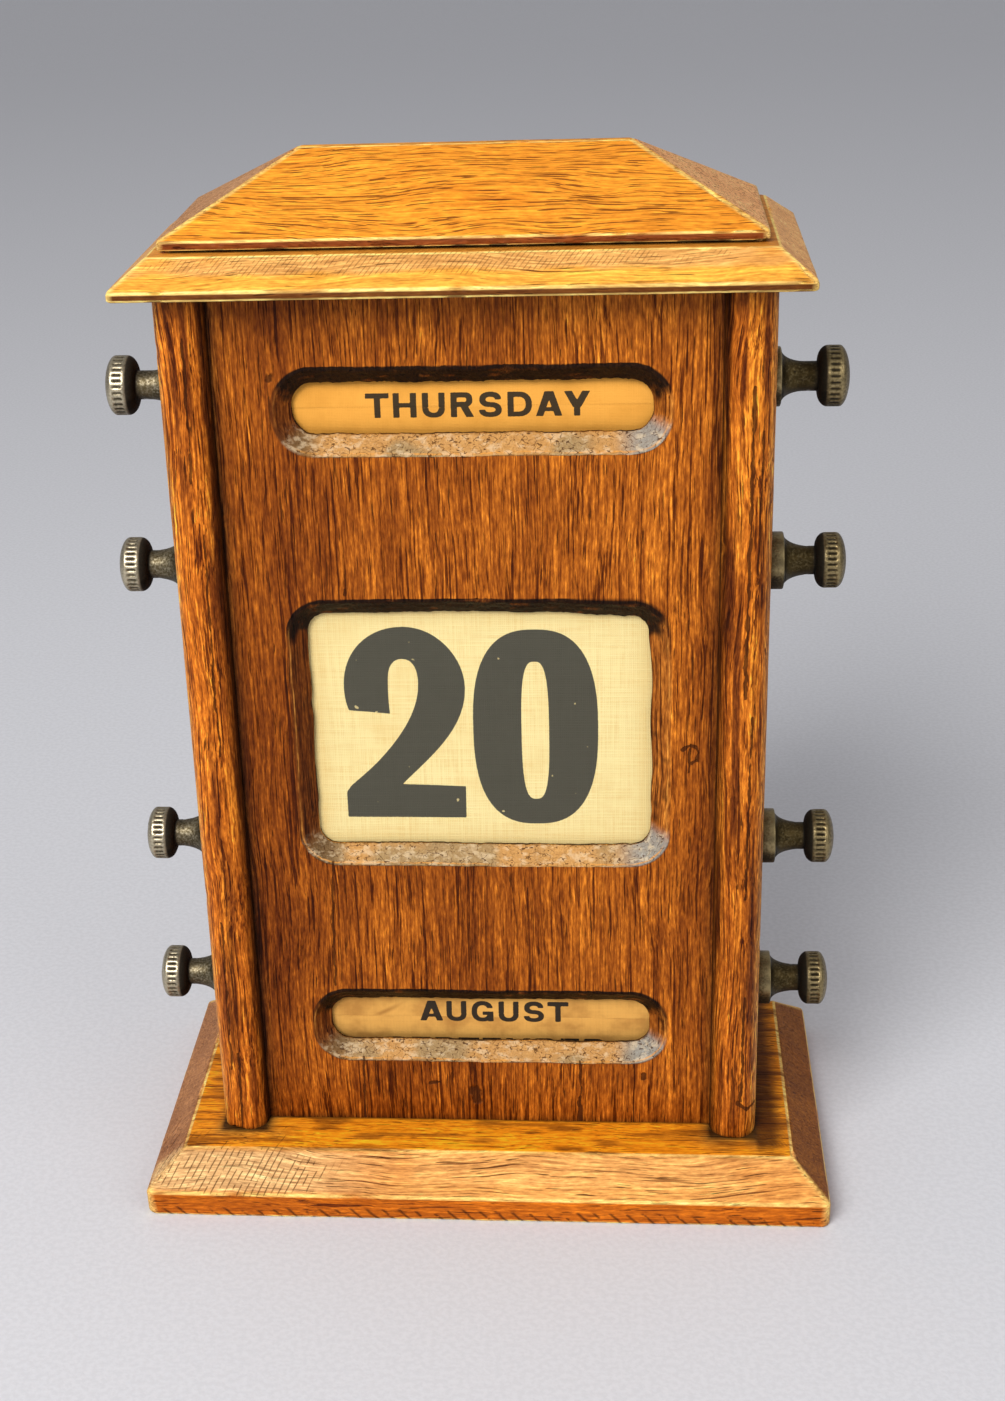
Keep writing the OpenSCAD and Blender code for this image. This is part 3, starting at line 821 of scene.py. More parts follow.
def new_material(name: str) -> tuple[Material, Graph, Node]:
    """Starts a material with a Principled BSDF.

    Returns:
        The material, its graph and its shader node.
    """
    material = bpy.data.materials.new(name)
    material.use_nodes = True
    material.node_tree.nodes.clear()
    graph = Graph(material.node_tree)
    shader = graph.add("BsdfPrincipled", {})
    graph.add("OutputMaterial", {"Surface": shader.outputs[0]})
    return material, graph, shader


@dataclass(frozen=True)
class Mark:
    """A crack from one point of a board to another, in millimetres."""

    start: Point
    end: Point
    width: float = 0.3


def trail_marks(trails: Sequence[tuple], place: Callable[[float, float], Point]) -> tuple[Mark, ...]:
    """Marks along broken lines on a board.

    Args:
        trails: for each line its width and its corners, as pairs of place across and height.
        place: gives a pair's point in space.
    """
    return tuple(
        Mark(place(*a), place(*b), width) for width, *points in trails for a, b in zip(points, points[1:])
    )


@dataclass(frozen=True)
class Sawn:
    """A patch of saw marks; see saw_marks() for its numbers."""

    middle: Point
    reach: Point
    across: Point
    width: float
    depth: float


@dataclass(frozen=True)
class WoodFinish:
    """Waxed or bare wood.

    The seat is where the board lies in the pattern, so that no two boards match. Without a tone of its
    own the wood takes the mesh's tint and pores. The two roughnesses are a waxed face's and an open
    pore's, and torn says that the mesh carries a value torn, which is 1 on torn end grain.
    """

    name: str
    grain: Grain
    seat: Point
    pores: float = 0.5
    streaks: float = 0.5
    bend: float = 1.0
    contrast: float = 1.0
    pore_tone: Rgb = (0.05, 0.012, 0.002)
    tone: Rgb | None = None
    roughness: tuple[float, float] = (0.45, 0.75)
    cracks: tuple[Mark, ...] = ()
    sawn: tuple[Sawn, ...] = ()
    torn: bool = False
    torn_tone: Rgb = (0.84, 0.66, 0.42)
    lightest: Rgb = (0.9, 0.8, 0.6)

    def marks(self, g: Graph, place: Socket) -> list[Socket]:
        """Masks of the wood's own cracks, spots and saw marks."""
        masks = []
        for c in self.cracks:
            masks.append(g.group(crack_line(), Vector=place, From=c.start, To=c.end, Width=c.width)["Mask"])
        for s in self.sawn:
            sizes = {"Middle": s.middle, "Reach": s.reach, "Across": s.across, "Width": s.width}
            mask = g.group(saw_marks(), Vector=place, **sizes)["Mask"]
            masks.append(g.math("MULTIPLY", mask, s.depth))
        return masks

    def torn_grain(self, g: Graph, place: Socket) -> tuple[Socket, Socket, Socket]:
        """Torn end grain: how pale it is, how dark its curls and specks are, and its relief."""
        rag = g.noise(g.mapped(place, (0.55, 0.8, 0.8)), 1.0, 3.0, 0.55)
        curl = g.noise(g.mapped(place, (0.6, 0.9, 0.9), (3, 3, 3)), 1.0, 1.0)
        curl = g.step(g.math("ABSOLUTE", g.math("SUBTRACT", curl, 0.5)), 0.006, 0.026, 0.95, 0.0)
        curl = g.math("MULTIPLY", curl, g.step(g.noise(place, 0.7), 0.4, 0.5))
        specks = g.step(g.noise(g.mapped(place, (0.9, 1.3, 1.6)), 1.0, 2.0, 0.6), 0.64, 0.69)
        pale = g.step(rag, 0.48, 0.66, 0.0, 0.4)
        return pale, g.math("MAXIMUM", curl, specks), g.math("MULTIPLY", rag, 3.0)

    def material(self) -> Material:
        """Builds the material."""
        material, g, shader = new_material(self.name)
        place = g.place()
        open_grain = 1.0 if self.tone else g.attribute("pores")
        looks = {"Pores": self.pores, "Bend": self.bend, "Contrast": self.contrast}
        looks["Streaks"] = g.math("MULTIPLY", open_grain, self.streaks)
        looks["Vector"] = g.mapped(place, (1, 1, 1), self.seat, self.grain.value)
        wood = g.group(oak_grain(), **looks)
        torn = g.attribute("torn") if self.torn else 0.0
        tone = g.mix(g.math("MULTIPLY", torn, 0.85), wood["Tone"], (1, 1, 1))
        colour = g.mix(1.0, self.tone or g.attribute("tint", "Vector"), tone, "MULTIPLY")
        colour = g.vector("MINIMUM", colour, self.lightest)
        dark, height = g.math("MULTIPLY", wood["Dark"], open_grain), wood["Height"]
        for cut in self.marks(g, place):
            dark = g.math("MAXIMUM", dark, cut)
            height = g.math("SUBTRACT", height, g.math("MULTIPLY", cut, 1.5))
        if self.torn:
            pale, specks, relief = (g.math("MULTIPLY", torn, mask) for mask in self.torn_grain(g, place))
            colour = g.mix(pale, colour, self.torn_tone)
            dark, height = g.math("MAXIMUM", dark, specks), g.math("ADD", height, relief)
        looks = {
            "Base Color": g.mix(g.math("MULTIPLY", dark, 0.84), colour, self.pore_tone),
            "Roughness": g.line(dark, 0.0, 1.0, *self.roughness),
            "Normal": g.bumped(height, 0.0002, 0.8),
            "Specular IOR Level": 0.09,
        }
        g.feed(shader, looks)
        return material


@dataclass(frozen=True)
class LinenFinish:
    """Sized linen with printed ink where the mesh's value ink is above zero.

    The colour gap lies between the threads, in stains and where the mesh is darkened by dirt and, on the date
    tape, by painted shadow. Pitch is the distance between threads in millimetres, and weave and mottle say how
    strongly the weave and the marks of age show.
    """

    name: str
    thread: Rgb
    gap: Rgb
    ink: Rgb
    pitch: float = 0.36
    weave: float = 1.0
    mottle: float = 0.5

    def material(self) -> Material:
        """Builds the material."""
        material, g, shader = new_material(self.name)
        uv = g.mapped(g.add("UVMap", {}, uv_map="cloth").outputs[0], (1 / MM,) * 3)
        cloth = g.group(linen_weave(), UV=uv, Pitch=self.pitch)
        depth = g.line(cloth["Shade"], 0.85, 1.0, self.weave, 0.0)
        colour = g.mix(g.math("MULTIPLY", depth, 0.55), self.thread, self.gap)
        age = g.math("MULTIPLY", g.step(g.noise(uv, 0.09, 4.0, 0.6), 0.42, 0.7), self.mottle)
        # The gap colour also goes where the mesh marks dirt and, on the date tape, painted shadow.
        colour = g.mix(g.math("MAXIMUM", age, g.attribute("grime")), colour, self.gap)
        rag = g.math("MULTIPLY", g.math("SUBTRACT", g.noise(uv, 2.6), 0.5), 0.12)
        print_mask = g.step(g.math("ADD", g.attribute("ink"), rag), -0.035, 0.035)
        bare = g.math("MULTIPLY", print_mask, g.math("MULTIPLY", cloth["Speck"], 0.6))
        lifted = tuple(1.35 * c + 0.01 for c in self.ink)
        ink_tone = g.mix(g.math("MULTIPLY", cloth["Height"], self.weave), self.ink, lifted)
        looks = {
            "Base Color": g.mix(g.math("SUBTRACT", print_mask, bare), colour, ink_tone),
            "Roughness": g.line(print_mask, 0.0, 1.0, 0.78, 0.55),
            "Normal": g.bumped(cloth["Height"], 0.00006 * (0.3 + self.weave), 0.7),
            "Specular IOR Level": 0.12,
        }
        g.feed(shader, looks)
        return material


@dataclass(frozen=True)
class MetalFinish:
    """Tarnished metal, rubbed bright where the mesh's value wear is high.

    The film is tarnish; the grime colour lies in pits and grooves and, as painted shade, where the mesh marks
    shade; the wear is added to the mesh's own, and the two roughnesses are rubbed metal's and tarnish's.
    """

    name: str
    bright: Rgb
    film: Rgb
    grime: Rgb
    wear: float = 0.0
    roughness: tuple[float, float] = (0.33, 0.52)

    def material(self) -> Material:
        """Builds the material."""
        material, g, shader = new_material(self.name)
        wear = g.math("ADD", g.attribute("wear"), self.wear)
        metal = g.group(tarnish(), Vector=g.place(), Wear=wear)
        deep = tuple(0.55 * c for c in self.film)
        film = g.mix(g.step(metal["Film"], 0.35, 0.65), self.film, deep)
        pit = g.math("MULTIPLY", metal["Pit"], g.line(wear, 0.0, 1.0, 0.7, 0.15))
        # Grime and painted shade that the mesh marks, and dark pits.
        dirt_and_shade = g.math("MAXIMUM", g.attribute("grime"), pit)
        rough = g.line(metal["Rubbed"], 0.0, 1.0, *self.roughness[::-1])
        looks = {
            "Base Color": g.mix(dirt_and_shade, g.mix(metal["Rubbed"], film, self.bright), self.grime),
            "Metallic": g.line(dirt_and_shade, 0.2, 0.9, 1.0, 0.0),
            "Roughness": g.math("MAXIMUM", rough, g.line(dirt_and_shade, 0.2, 0.9, 0.0, 0.85)),
            "Normal": g.bumped(metal["Height"], 0.00005, 0.6),
            "Specular IOR Level": 0.2,
        }
        g.feed(shader, looks)
        return material


@dataclass(frozen=True)
class LeatherFinish:
    """Thin undyed leather: pebbled grain with darker creases."""

    name: str
    light: Rgb
    dark: Rgb

    def material(self) -> Material:
        """Builds the material."""
        material, g, shader = new_material(self.name)
        place = g.place()
        cells = g.add("TexVoronoi", {"Vector": place, "Scale": 1.8}).outputs["Distance"]
        crease = g.step(cells, 0.25, 0.6)
        colour = g.mix(crease, self.light, self.dark)
        looks = {
            "Base Color": g.mix(g.step(g.noise(place, 0.3, 3.0), 0.4, 0.7), colour, self.dark),
            "Roughness": g.line(crease, 0.0, 1.0, 0.55, 0.8),
            "Normal": g.bumped(g.math("MULTIPLY", cells, -1.0), 0.0001),
        }
        g.feed(shader, looks)
        return material


# ---- Boards with hips ----


@dataclass(frozen=True)
class BoardTones:
    """Colours of a hipped board, from its underside up.

    The ends are end grain on the left and the right slope, and the stain and the upper tone lie on the
    slopes. The arris tone is the worn arrises' and hips' colour with a painted highlight, and the underside's tone
    also fills a recess under the edge, which on the cap is painted shade.
    """

    under: Rgb
    edge: Rgb
    slope: Rgb
    top: Rgb
    arris: Rgb
    ends: tuple[Rgb, Rgb]
    stain: Rgb
    upper: Rgb


@dataclass
class HippedBoard:
    """Board with an upright edge and four slopes that meet in hips.

    Attributes:
        node: the CAD node that it stands for.
        edge: height of the upright edge.
        inset: how far the slopes run in along X and Y.
        tones: its colours.
        foot: depth and height of a recess under the edge, or zeros.
        corner: radius of the upright corners.
        hip: radius of the hips at the top of the slopes.
        cut: how far the arrises are cut back.
        chip: depth of the chips along the arrises.
        seed: seed of its wear.
        spacing: distance between points along a side.
        under_in: how far the underside is modelled from its edge.
        top_in: the same for the top.
    """

    node: str
    edge: float
    inset: tuple[float, float]
    tones: BoardTones
    foot: tuple[float, float] = (0.0, 0.0)
    corner: float = 0.9
    hip: float = 0.6
    cut: float = 0.55
    chip: float = 0.5
    seed: int = 1
    spacing: float = 0.6
    under_in: float = 9.0
    top_in: float = 16.0

    def path(self) -> tuple[Array, Array, Array]:
        """Profile from under the board to its top; see rounded_path().

        Returns:
            The inset in X, the inset in Y and Z of each point, its arris and its stretch.
        """
        box = node_box(self.node)
        low, high = box.low[2], box.high[2]
        recess, lift = self.foot
        ix, iy = self.inset
        room = float(min(box.size[0] / 2 - ix, box.size[1] / 2 - iy))
        top_in = min(self.top_in, 0.55 * room)
        corners = [[recess + self.under_in] * 2 + [low], [recess, recess, low]]
        cuts = [self.cut]
        if lift:
            corners += [[recess, recess, low + lift], [0, 0, low + lift]]
            cuts = [0.1, 0.15, 0.3]
        corners += [[0, 0, low + lift + self.edge], [ix, iy, high], [ix + top_in, iy + top_in, high]]
        cuts += [self.cut, min(self.cut, 0.8 * room)]
        return rounded_path(np.array(corners, float), cuts, 0.9)

    def surface(self) -> Surface:
        """Rings of a rounded rectangle along the profile, then worn and tinted."""
        box = node_box(self.node)
        path, arris, stretch = self.path()
        half_x, half_y = (box.size[i] / 2 - path[:, i] for i in range(2))
        rise = (path[:, 2] - box.low[2]) / box.size[2]
        radius = np.minimum(self.corner + (self.hip - self.corner) * rise, 0.9 * np.minimum(half_x, half_y))
        ring = RoundedRing(*(round(size / self.spacing) for size in box.size[:2]))
        made = capped_rows(stretched(ring.rows(half_x, half_y, radius) + box.centre[:2], path[:, 2], 2))
        hips = ring.near_corner(4) * ((stretch > 0.5) & (rise < 0.999))[:, None]
        made = worn(made, np.maximum(arris[:, None], 0.75 * hips).ravel(), self.chip, 0.04, self.seed)
        self.tint(made, columns(stretch, ring.count).ravel())
        return made

    def tint(self, made: Surface, stretch: Array) -> None:
        """Colours the board by stretch: underside, edge, slope and top, then stains, ends and arrises, the last
        worn and with a painted highlight.
        """
        p, arris, t = made.points, made.values["arris"], self.tones
        skipped = 2 if self.foot[1] else 0
        stops = [t.under] * (1 + skipped) + [t.edge, t.slope, t.top]
        tones = np.stack([np.interp(stretch, range(len(stops)), channel) for channel in zip(*stops)], 1)
        slope = 1 - np.clip(np.abs(stretch - 2 - skipped), 0, 1)
        rise = (p[:, 2] - p[:, 2].min()) / np.ptp(p[:, 2]) + 0.08 * lattice_noise(p, 4.0, self.seed + 6)
        cloud = lattice_noise(p * (0.4, 1, 1), 11.0, self.seed + 7)
        cloud += 0.35 * lattice_noise(p * (0.5, 1, 1), 2.6, self.seed + 8)
        facing = made.normals()[:, 0]
        end = 0.92 * np.maximum(slope, 0.35)
        made.values["tint"] = layered(
            tones,
            (t.upper, slope * smoothstep(rise, 0.56, 0.68)),
            (t.stain, 0.75 * slope * smoothstep(cloud, 0.15, 0.85)),
            (t.ends[0], end * smoothstep(-facing, 0.35, 0.5)),
            (t.ends[1], end * smoothstep(facing, 0.35, 0.5)),
            # Worn arrises and hips, with a painted highlight.
            (t.arris, 0.97 * arris**0.6 * patches(p, 5.0, self.seed + 9, -1.1, -0.1)),
        )
        made.values["pores"] = 1 - 0.75 * arris


# ---- Plinth ----


@dataclass
class Plinth:
    """Chamfered oak plinth with its four sunk screws."""

    case_half: Array = field(default_factory=lambda: node_box("right_side_board").high)
    edge: float = 5.4
    chamfer: float = 7.2
    screw_r: float = 1.55
    screw_head_r: float = 2.83
    screw_cone: float = 1.21
    screw_sink: float = 0.6
    tones: BoardTones = BoardTones(
        under=(0.30, 0.13, 0.04),
        edge=(0.50, 0.115, 0.006),
        slope=(0.80, 0.355, 0.085),
        top=(0.93, 0.31, 0.011),
        arris=(0.95, 0.60, 0.17),
        ends=((0.34, 0.135, 0.05), (0.21, 0.055, 0.003)),
        stain=(0.66, 0.25, 0.05),
        upper=(0.80, 0.37, 0.10),
    )
    sawn: tuple[Sawn, ...] = (
        Sawn((-49.0, -32.4, 8.4), (21, 30, 3.6), (0.74, -0.26, -0.22), 0.15, 0.8),
        Sawn((0.0, -36.0, 0.4), (85, 2.5, 2.3), (0.31, 0.0, 0.3), 0.2, 0.9),
    )

    def board(self) -> HippedBoard:
        """The plinth's board."""
        sizes = {"corner": 1.9, "hip": 0.5, "cut": 0.6, "chip": 0.42, "seed": 11}
        return HippedBoard("plinth_board", self.edge, (self.chamfer,) * 2, self.tones, **sizes)

    def screw_holes(self) -> list[Surface]:
        """Countersunk holes at the middles of the four screws."""
        sink, top = self.screw_sink, node_box("plinth_board").high[2] + 1
        reaches = [(-1.0, self.screw_head_r), (sink, self.screw_head_r)]
        reaches += [(sink + self.screw_cone, self.screw_r), (top, self.screw_r)]
        return [plug("z", (x, y, 0.0), reaches) for x, y in spots("plinth_screws")]

    def dirt_and_shade(self, made: Surface) -> None:
        """Paints shade on the ledge where it meets the case and a shadow right of the case, and stains it round
        the posts' feet.
        """
        x, y, z = made.points.T
        inner, far = node_box("right_side_board").low[0], np.abs(x)
        over_x = np.maximum(np.maximum(inner - far, far - self.case_half[0]), 0)
        post = np.hypot(over_x, np.maximum(np.abs(y) - self.case_half[1], 0))
        wall = np.where(y < 0, node_box("front_panel").low[1] - y, y - self.case_half[1])
        away = np.minimum(post, np.where(far < inner, np.maximum(wall, 0), 99.0))
        top = smoothstep(z, 11.0, 11.4)
        ragged = np.clip(1 + 0.7 * lattice_noise(made.points, 3.0, 41), 0.2, 2)
        slope = smoothstep(z, 5.4, 6.4) * (1 - top) * smoothstep(-y, 26, 30)
        shade = smoothstep(x, 53.5, 54.5) * (1 - smoothstep(x, 57, 61)) * smoothstep(y, -31, -23)
        made.values["tint"] = layered(
            made.values["tint"],
            ((0.20, 0.12, 0.03), 0.75 * top * np.exp(-post / (2.6 * ragged))),
            ((0.87, 0.54, 0.23), 0.85 * slope * smoothstep(-x, 15, 45)),
            ((0.20, 0.055, 0.006), 0.75 * top * patches(made.points * (0.16, 1, 1), 1.3, 42, 0.1, 0.6)),
            # Painted shadow of the case on the ledge to its right.
            ((0.05, 0.012, 0.002), 0.85 * top * shade),
            # Painted shade where the ledge meets the case.
            ((0.03, 0.012, 0.004), 0.9 * top * np.exp(-away / 0.4)),
        )
        made.values["pores"] *= 1 - 0.7 * slope * smoothstep(-x, 25, 50)

    def build(self) -> None:
        """Makes and dresses the plinth."""
        looks = {"pores": 0.55, "streaks": 0.45, "bend": 1.1, "contrast": 0.75, "sawn": self.sawn}
        finish = WoodFinish("plinth_oak", Grain.ALONG_X, (40, 3, 11), **looks)
        made = self.board().surface()
        self.dirt_and_shade(made)
        make_piece("plinth_oak", made, "plinth_board", finish.material(), self.screw_holes())


# ---- Roof ----


@dataclass
class Roof:
    """Cornice board and the hipped cap block on it."""

    cornice_edge: float = 1.7
    cornice_chamfer: float = 6.1
    cap_edge: float = 1.6
    cap_gap: tuple[float, float] = (1.2, 0.5)
    ridge: tuple[float, float] = (58.8, 2.4)
    brad_r: float = 0.95
    brad_head: tuple[float, float] = (1.35, 0.85)
    cap_pore_tone: Rgb = (0.16, 0.038, 0.006)
    cornice_tones: BoardTones = BoardTones(
        under=(0.10, 0.03, 0.006),
        edge=(0.13, 0.038, 0.006),
        slope=(0.82, 0.36, 0.045),
        top=(0.62, 0.24, 0.03),
        arris=(0.97, 0.68, 0.20),
        ends=((0.62, 0.31, 0.11), (0.84, 0.42, 0.155)),
        stain=(0.76, 0.30, 0.035),
        upper=(0.72, 0.35, 0.095),
    )
    cap_tones: BoardTones = BoardTones(
        # Nearly black: painted shade in the recess under the cap's edge, and on its hidden underside.
        under=(0.02, 0.007, 0.002),
        edge=(0.24, 0.055, 0.01),
        slope=(0.84, 0.30, 0.024),
        top=(0.82, 0.34, 0.045),
        arris=(0.96, 0.64, 0.18),
        ends=((0.50, 0.27, 0.13), (0.86, 0.43, 0.18)),
        stain=(0.80, 0.25, 0.016),
        upper=(0.84, 0.30, 0.024),
    )

    def cornice(self) -> HippedBoard:
        """The cornice board."""
        sizes = {"hip": 0.5, "cut": 0.5, "chip": 0.42, "seed": 23}
        inset = (self.cornice_chamfer,) * 2
        return HippedBoard("cornice_board", self.cornice_edge, inset, self.cornice_tones, **sizes)

    def cap(self) -> HippedBoard:
        """The cap block, whose slopes run in to its ridge."""
        inset = tuple((size - ridge) / 2 for size, ridge in zip(node_box("cap_block").size, self.ridge))
        sizes = {"foot": self.cap_gap, "hip": 0.9, "cut": 0.42, "chip": 0.4, "seed": 37}
        return HippedBoard("cap_block", self.cap_edge, inset, self.cap_tones, **sizes)

    def brad_holes(self) -> list[Surface]:
        """Holes for the four brads, from the cornice's top."""
        top = node_box("cornice_brads").high[2]
        head_r, head_t = self.brad_head
        reaches = [(-30, self.brad_r), (-head_t, self.brad_r), (-head_t, head_r), (2, head_r)]
        return [plug("z", (x, y, top), reaches) for x, y in spots("cornice_brads")]

    def build(self) -> None:
        """Makes and dresses both boards."""
        top = float(node_box("cornice_board").high[2])
        sawn = (Sawn((-8.0, -24.0, top - 1.0), (52, 5, 2.4), (1.1, -0.5, -0.4), 0.2, 0.42),)
        looks = {"pores": 0.42, "streaks": 0.3, "bend": 1.2, "contrast": 0.65, "sawn": sawn}
        finish = WoodFinish("cornice_oak", Grain.ALONG_X, (5, 60, 2), **looks)
        made = self.cornice().surface()
        make_piece("cornice_oak", made, "cornice_board", finish.material(), self.brad_holes())
        looks = {"pores": 0.85, "streaks": 0.44, "bend": 1.3, "contrast": 0.55}
        finish = WoodFinish("cap_oak", Grain.ALONG_X, (90, 14, 31), pore_tone=self.cap_pore_tone, **looks)
        make_piece("cap_oak", self.cap().surface(), "cap_block", finish.material())


# ---- Case ----


@dataclass
class Case:
    """Side boards with round noses, the front panel with its three windows and the back panel."""

    nose_r: float = 4.6
    groove: tuple[float, float] = (3.0, 3.15)
    rebate: tuple[float, float] = (5.5, 4.0)
    journal_hole_r: float = 2.61
    rod_hole: tuple[float, float] = (2.05, 3.5)
    screw_hole_r: float = 1.55
    brad_hole_r: float = 0.95
    window_w: float = 70.0
    window_r: float = 7.0
    window_spacing: float = 0.55
    bevel_in: float = 3.0
    bevel_land: float = 0.4
    windows: tuple[tuple[str, float], ...] = (
        ("month_window", 15.6),
        ("date_window", 54.0),
        ("day_window", 15.2),
    )
    back_screw_cone: tuple[float, float, float] = (2.085, 1.15, 0.89)
    post_tone: Rgb = (0.54, 0.14, 0.011)
    panel_tone: Rgb = (0.33, 0.082, 0.006)
    back_tone: Rgb = (0.33, 0.10, 0.018)
    arris_wear_and_highlight_tone: Rgb = (0.72, 0.30, 0.05)
    # Near black, for painted shade in grooves, under the eaves, at the posts' feet and round the windows.
    painted_shade_tone: Rgb = (0.02, 0.007, 0.002)

    def side_outline(self) -> Array:
        """Section of the right side board in X and Y, from the nose's outer end round to the back.

        The nose is half a circle; the groove and the rebate are cut into the inner side.
        """
        box = node_box("right_side_board")
        panel_y = node_box("front_panel").low[1]
        (x0, y0), (x1, y1) = box.low[:2], box.high[:2]
        angle = np.linspace(0, -math.pi, 33)
        arc = np.stack([np.cos(angle), 1 + np.sin(angle)], axis=1)
        nose = self.nose_r * arc + ((x0 + x1) / 2, y0)
        depth, width = self.groove
        into, thick = self.rebate
        groove = [[x0, panel_y], [x0 + depth, panel_y], [x0 + depth, panel_y + width], [x0, panel_y + width]]
        rebate = [[x0, y1 - thick], [x0 + into, y1 - thick], [x0 + into, y1], [x1, y1]]
        corners = np.array([nose[-1], *groove, *rebate, nose[0]])
        rest, _, _ = rounded_path(corners, [0.08, 0.08, 0.08, 0.2, 0.2, 0.08, 0.25, 0.45], 1.2, 4)
        return np.concatenate([nose, rest[1:-1]])

    def side_surface(self, side: Side) -> Surface:
        """The outline swept along Z, worn at its foot and on its nose."""
        box = node_box("right_side_board")
        outline = self.side_outline()
        low, high = box.low[2], box.high[2]
        z = np.unique(np.concatenate([np.linspace(low, high, 190), low + np.array([0.15, 0.35, 0.6])]))
        made = capped_rows(stretched(np.repeat(outline[None], len(z), axis=0), z, 2))
        seed, light = (51, 1.08) if side is Side.LEFT else (67, 0.9)
        x, y, z = made.points.T
        visible = y < node_box("front_panel").low[1] - 0.3
        foot = np.clip(1 - (z - low) / 0.6, 0, 1) * (visible | (x > box.high[0] - 0.6))
        nose = 0.22 * visible * (1 - smoothstep(z, high - 3, high))
        made = worn(made, np.maximum(foot, nose), 0.42, 0.03, seed)
        self.tint_side(made, seed)
        made.values["tint"] *= light
        return side.placed(made)

    def tint_side(self, made: Surface, seed: int) -> None:
        """Streaky orange tone, with painted shade under the eaves, at the foot, on the inner side by the panel and
        in the groove.
        """
        box, panel_y = node_box("right_side_board"), node_box("front_panel").low[1]
        x, y, z = made.points.T
        long = made.points * (1, 1, 0.06)
        outer = smoothstep(x, box.high[0] - 1.6, box.high[0] - 0.5) * (y < box.low[1] + 5)
        deep = smoothstep(y, panel_y - 2.2, panel_y - 0.3) * (x < box.high[0] - 2)
        eaves, foot = np.exp(-(box.high[2] - z) / 1.6), np.exp(-(z - box.low[2]) / 0.5)
        made.values["tint"] = layered(
            self.post_tone,
            ((0.78, 0.24, 0.02), 0.9 * patches(long, 1.7, seed + 3, 0.0, 0.7)),
            ((0.15, 0.03, 0.003), 0.95 * patches(long, 1.3, seed + 4, 0.0, 0.6)),
            ((0.80, 0.32, 0.05), 0.6 * outer),
            # Painted shade: near black on the inner side, in the groove by the panel, under the eaves and at the
            # foot.
            (self.painted_shade_tone, 0.9 * np.clip(1 - (x - box.low[0]) / 1.8, 0, 1)),
            (self.painted_shade_tone, deep),
            (self.painted_shade_tone, 0.8 * np.maximum(eaves, foot)),
        )
        made.values["pores"] = np.ones(len(x))

    def side_tools(self, side: Side) -> list[Surface]:
        """Holes for journals, rods, plinth screws, brads and back screws in one side board."""
        box = node_box("right_side_board")
        inner, outer = box.low[0] - 1, box.high[0] + 1
        places = [(0, *joint_place(joint)[1:]) for joint in ROW_JOINTS.values()]
        tools = [drill("x", place, inner, outer, self.journal_hole_r) for place in places]
        radius, depth = self.rod_hole
        places = [(0, *node_box(f"{row}_tape_rod").centre[1:]) for row in ("upper", "lower")]
        tools += [drill("x", place, inner, box.low[0] + depth, radius) for place in places]
        screw = ("plinth_screws", box.low[2] - 1, node_box("plinth_screws").high[2], self.screw_hole_r)
        brad = ("cornice_brads", node_box("cornice_brads").low[2], box.high[2] + 1, self.brad_hole_r)
        for node, *reach in (screw, brad):
            tools += [drill("z", (x, y, 0), *reach) for x, y in spots(node) if x > 0]
        return [side.placed(tool) for tool in tools + self.back_screw_tools(right_only=True)]

    def back_screw_tools(self, right_only: bool) -> list[Surface]:
        """Countersunk holes for the back panel's screws."""
        box = node_box("back_panel_screws")
        back = box.high[1]
        head_r, shank_r, cone = self.back_screw_cone
        reaches = [(box.low[1], shank_r), (back - cone, shank_r), (back, head_r), (back + 1, head_r)]
        middles = spots("back_panel_screws", "xz")
        return [plug("y", (x, 0, z), reaches) for x, z in middles if x > 0 or not right_only]

    def window_cell(self, centre: Array, height: float, low: float, high: float) -> Surface:
        """Part of the front panel round one window.

        Rings run from the cell's border on the back, to the window's land, out along its bevel, over a
        rounded arris and across the face to the cell's border again. Between the window's outline W and
        the border's point B a point is W + (B - W) t^1.5. The last row of quads closes the outer sides.

        Args:
            centre: middle of the window.
            height: height of the window.
            low: lower end of the cell.
            high: upper end of the cell.
        """
        panel = node_box("front_panel")
        front, back = panel.low[1], panel.high[1]
        ring = RoundedRing(*(round(size / self.window_spacing) for size in (self.window_w, height)), 13)
        corners = [[self.bevel_in, back], [self.bevel_in, back - self.bevel_land], [0, front], [-0.5, front]]
        path, arris, _ = rounded_path(np.array(corners), [0.12, 0.22], 0.34, 5)
        inset = path[:, 0]
        outline = ring.rows(self.window_w / 2 - inset, height / 2 - inset, self.window_r - inset)
        outline += centre[[0, 2]]
        border = self.border_ring(ring, panel, low, high)
        face = outline[-1] + (border - outline[-1]) * np.linspace(0, 1, 16)[1:, None, None] ** 1.5
        behind = outline[0] + (border - outline[0]) * np.linspace(1, 0, 4)[:-1, None, None]
        beyond = (len(behind), len(face))
        y = np.pad(path[:, 1], beyond, constant_values=(back, front))
        rows = stretched(np.concatenate([behind, outline, face]), y, 1)
        weights = (np.pad(weight, beyond) for weight in (arris, np.ones(len(path))))
        arris, bevel = (columns(weight, ring.count).ravel() for weight in weights)
        made = Surface(rows.reshape(-1, 3), [self.cell_faces(ring, rows)], {"arris": arris})
        self.carve(made, bevel, centre, height)
        return made

    def border_ring(self, ring: RoundedRing, panel: Box, low: float, high: float) -> Array:
        """Points on the cell's rectangle, evenly spaced between the columns of its corners."""
        x0, x1 = panel.low[0], panel.high[0]
        corners, middles = [(x1, high), (x0, high), (x0, low), (x1, low)], ring.corner_middles()
        border = np.zeros((ring.count, 2))
        sides = zip(middles, np.roll(middles, -1), corners, np.roll(corners, -1, 0))
        for first, last, corner, after in sides:
            steps = (last - first) % ring.count
            t = np.linspace(0, 1, steps + 1)[:, None]
            border[(first + np.arange(steps + 1)) % ring.count] = np.array(corner) * (1 - t) + after * t
        return border

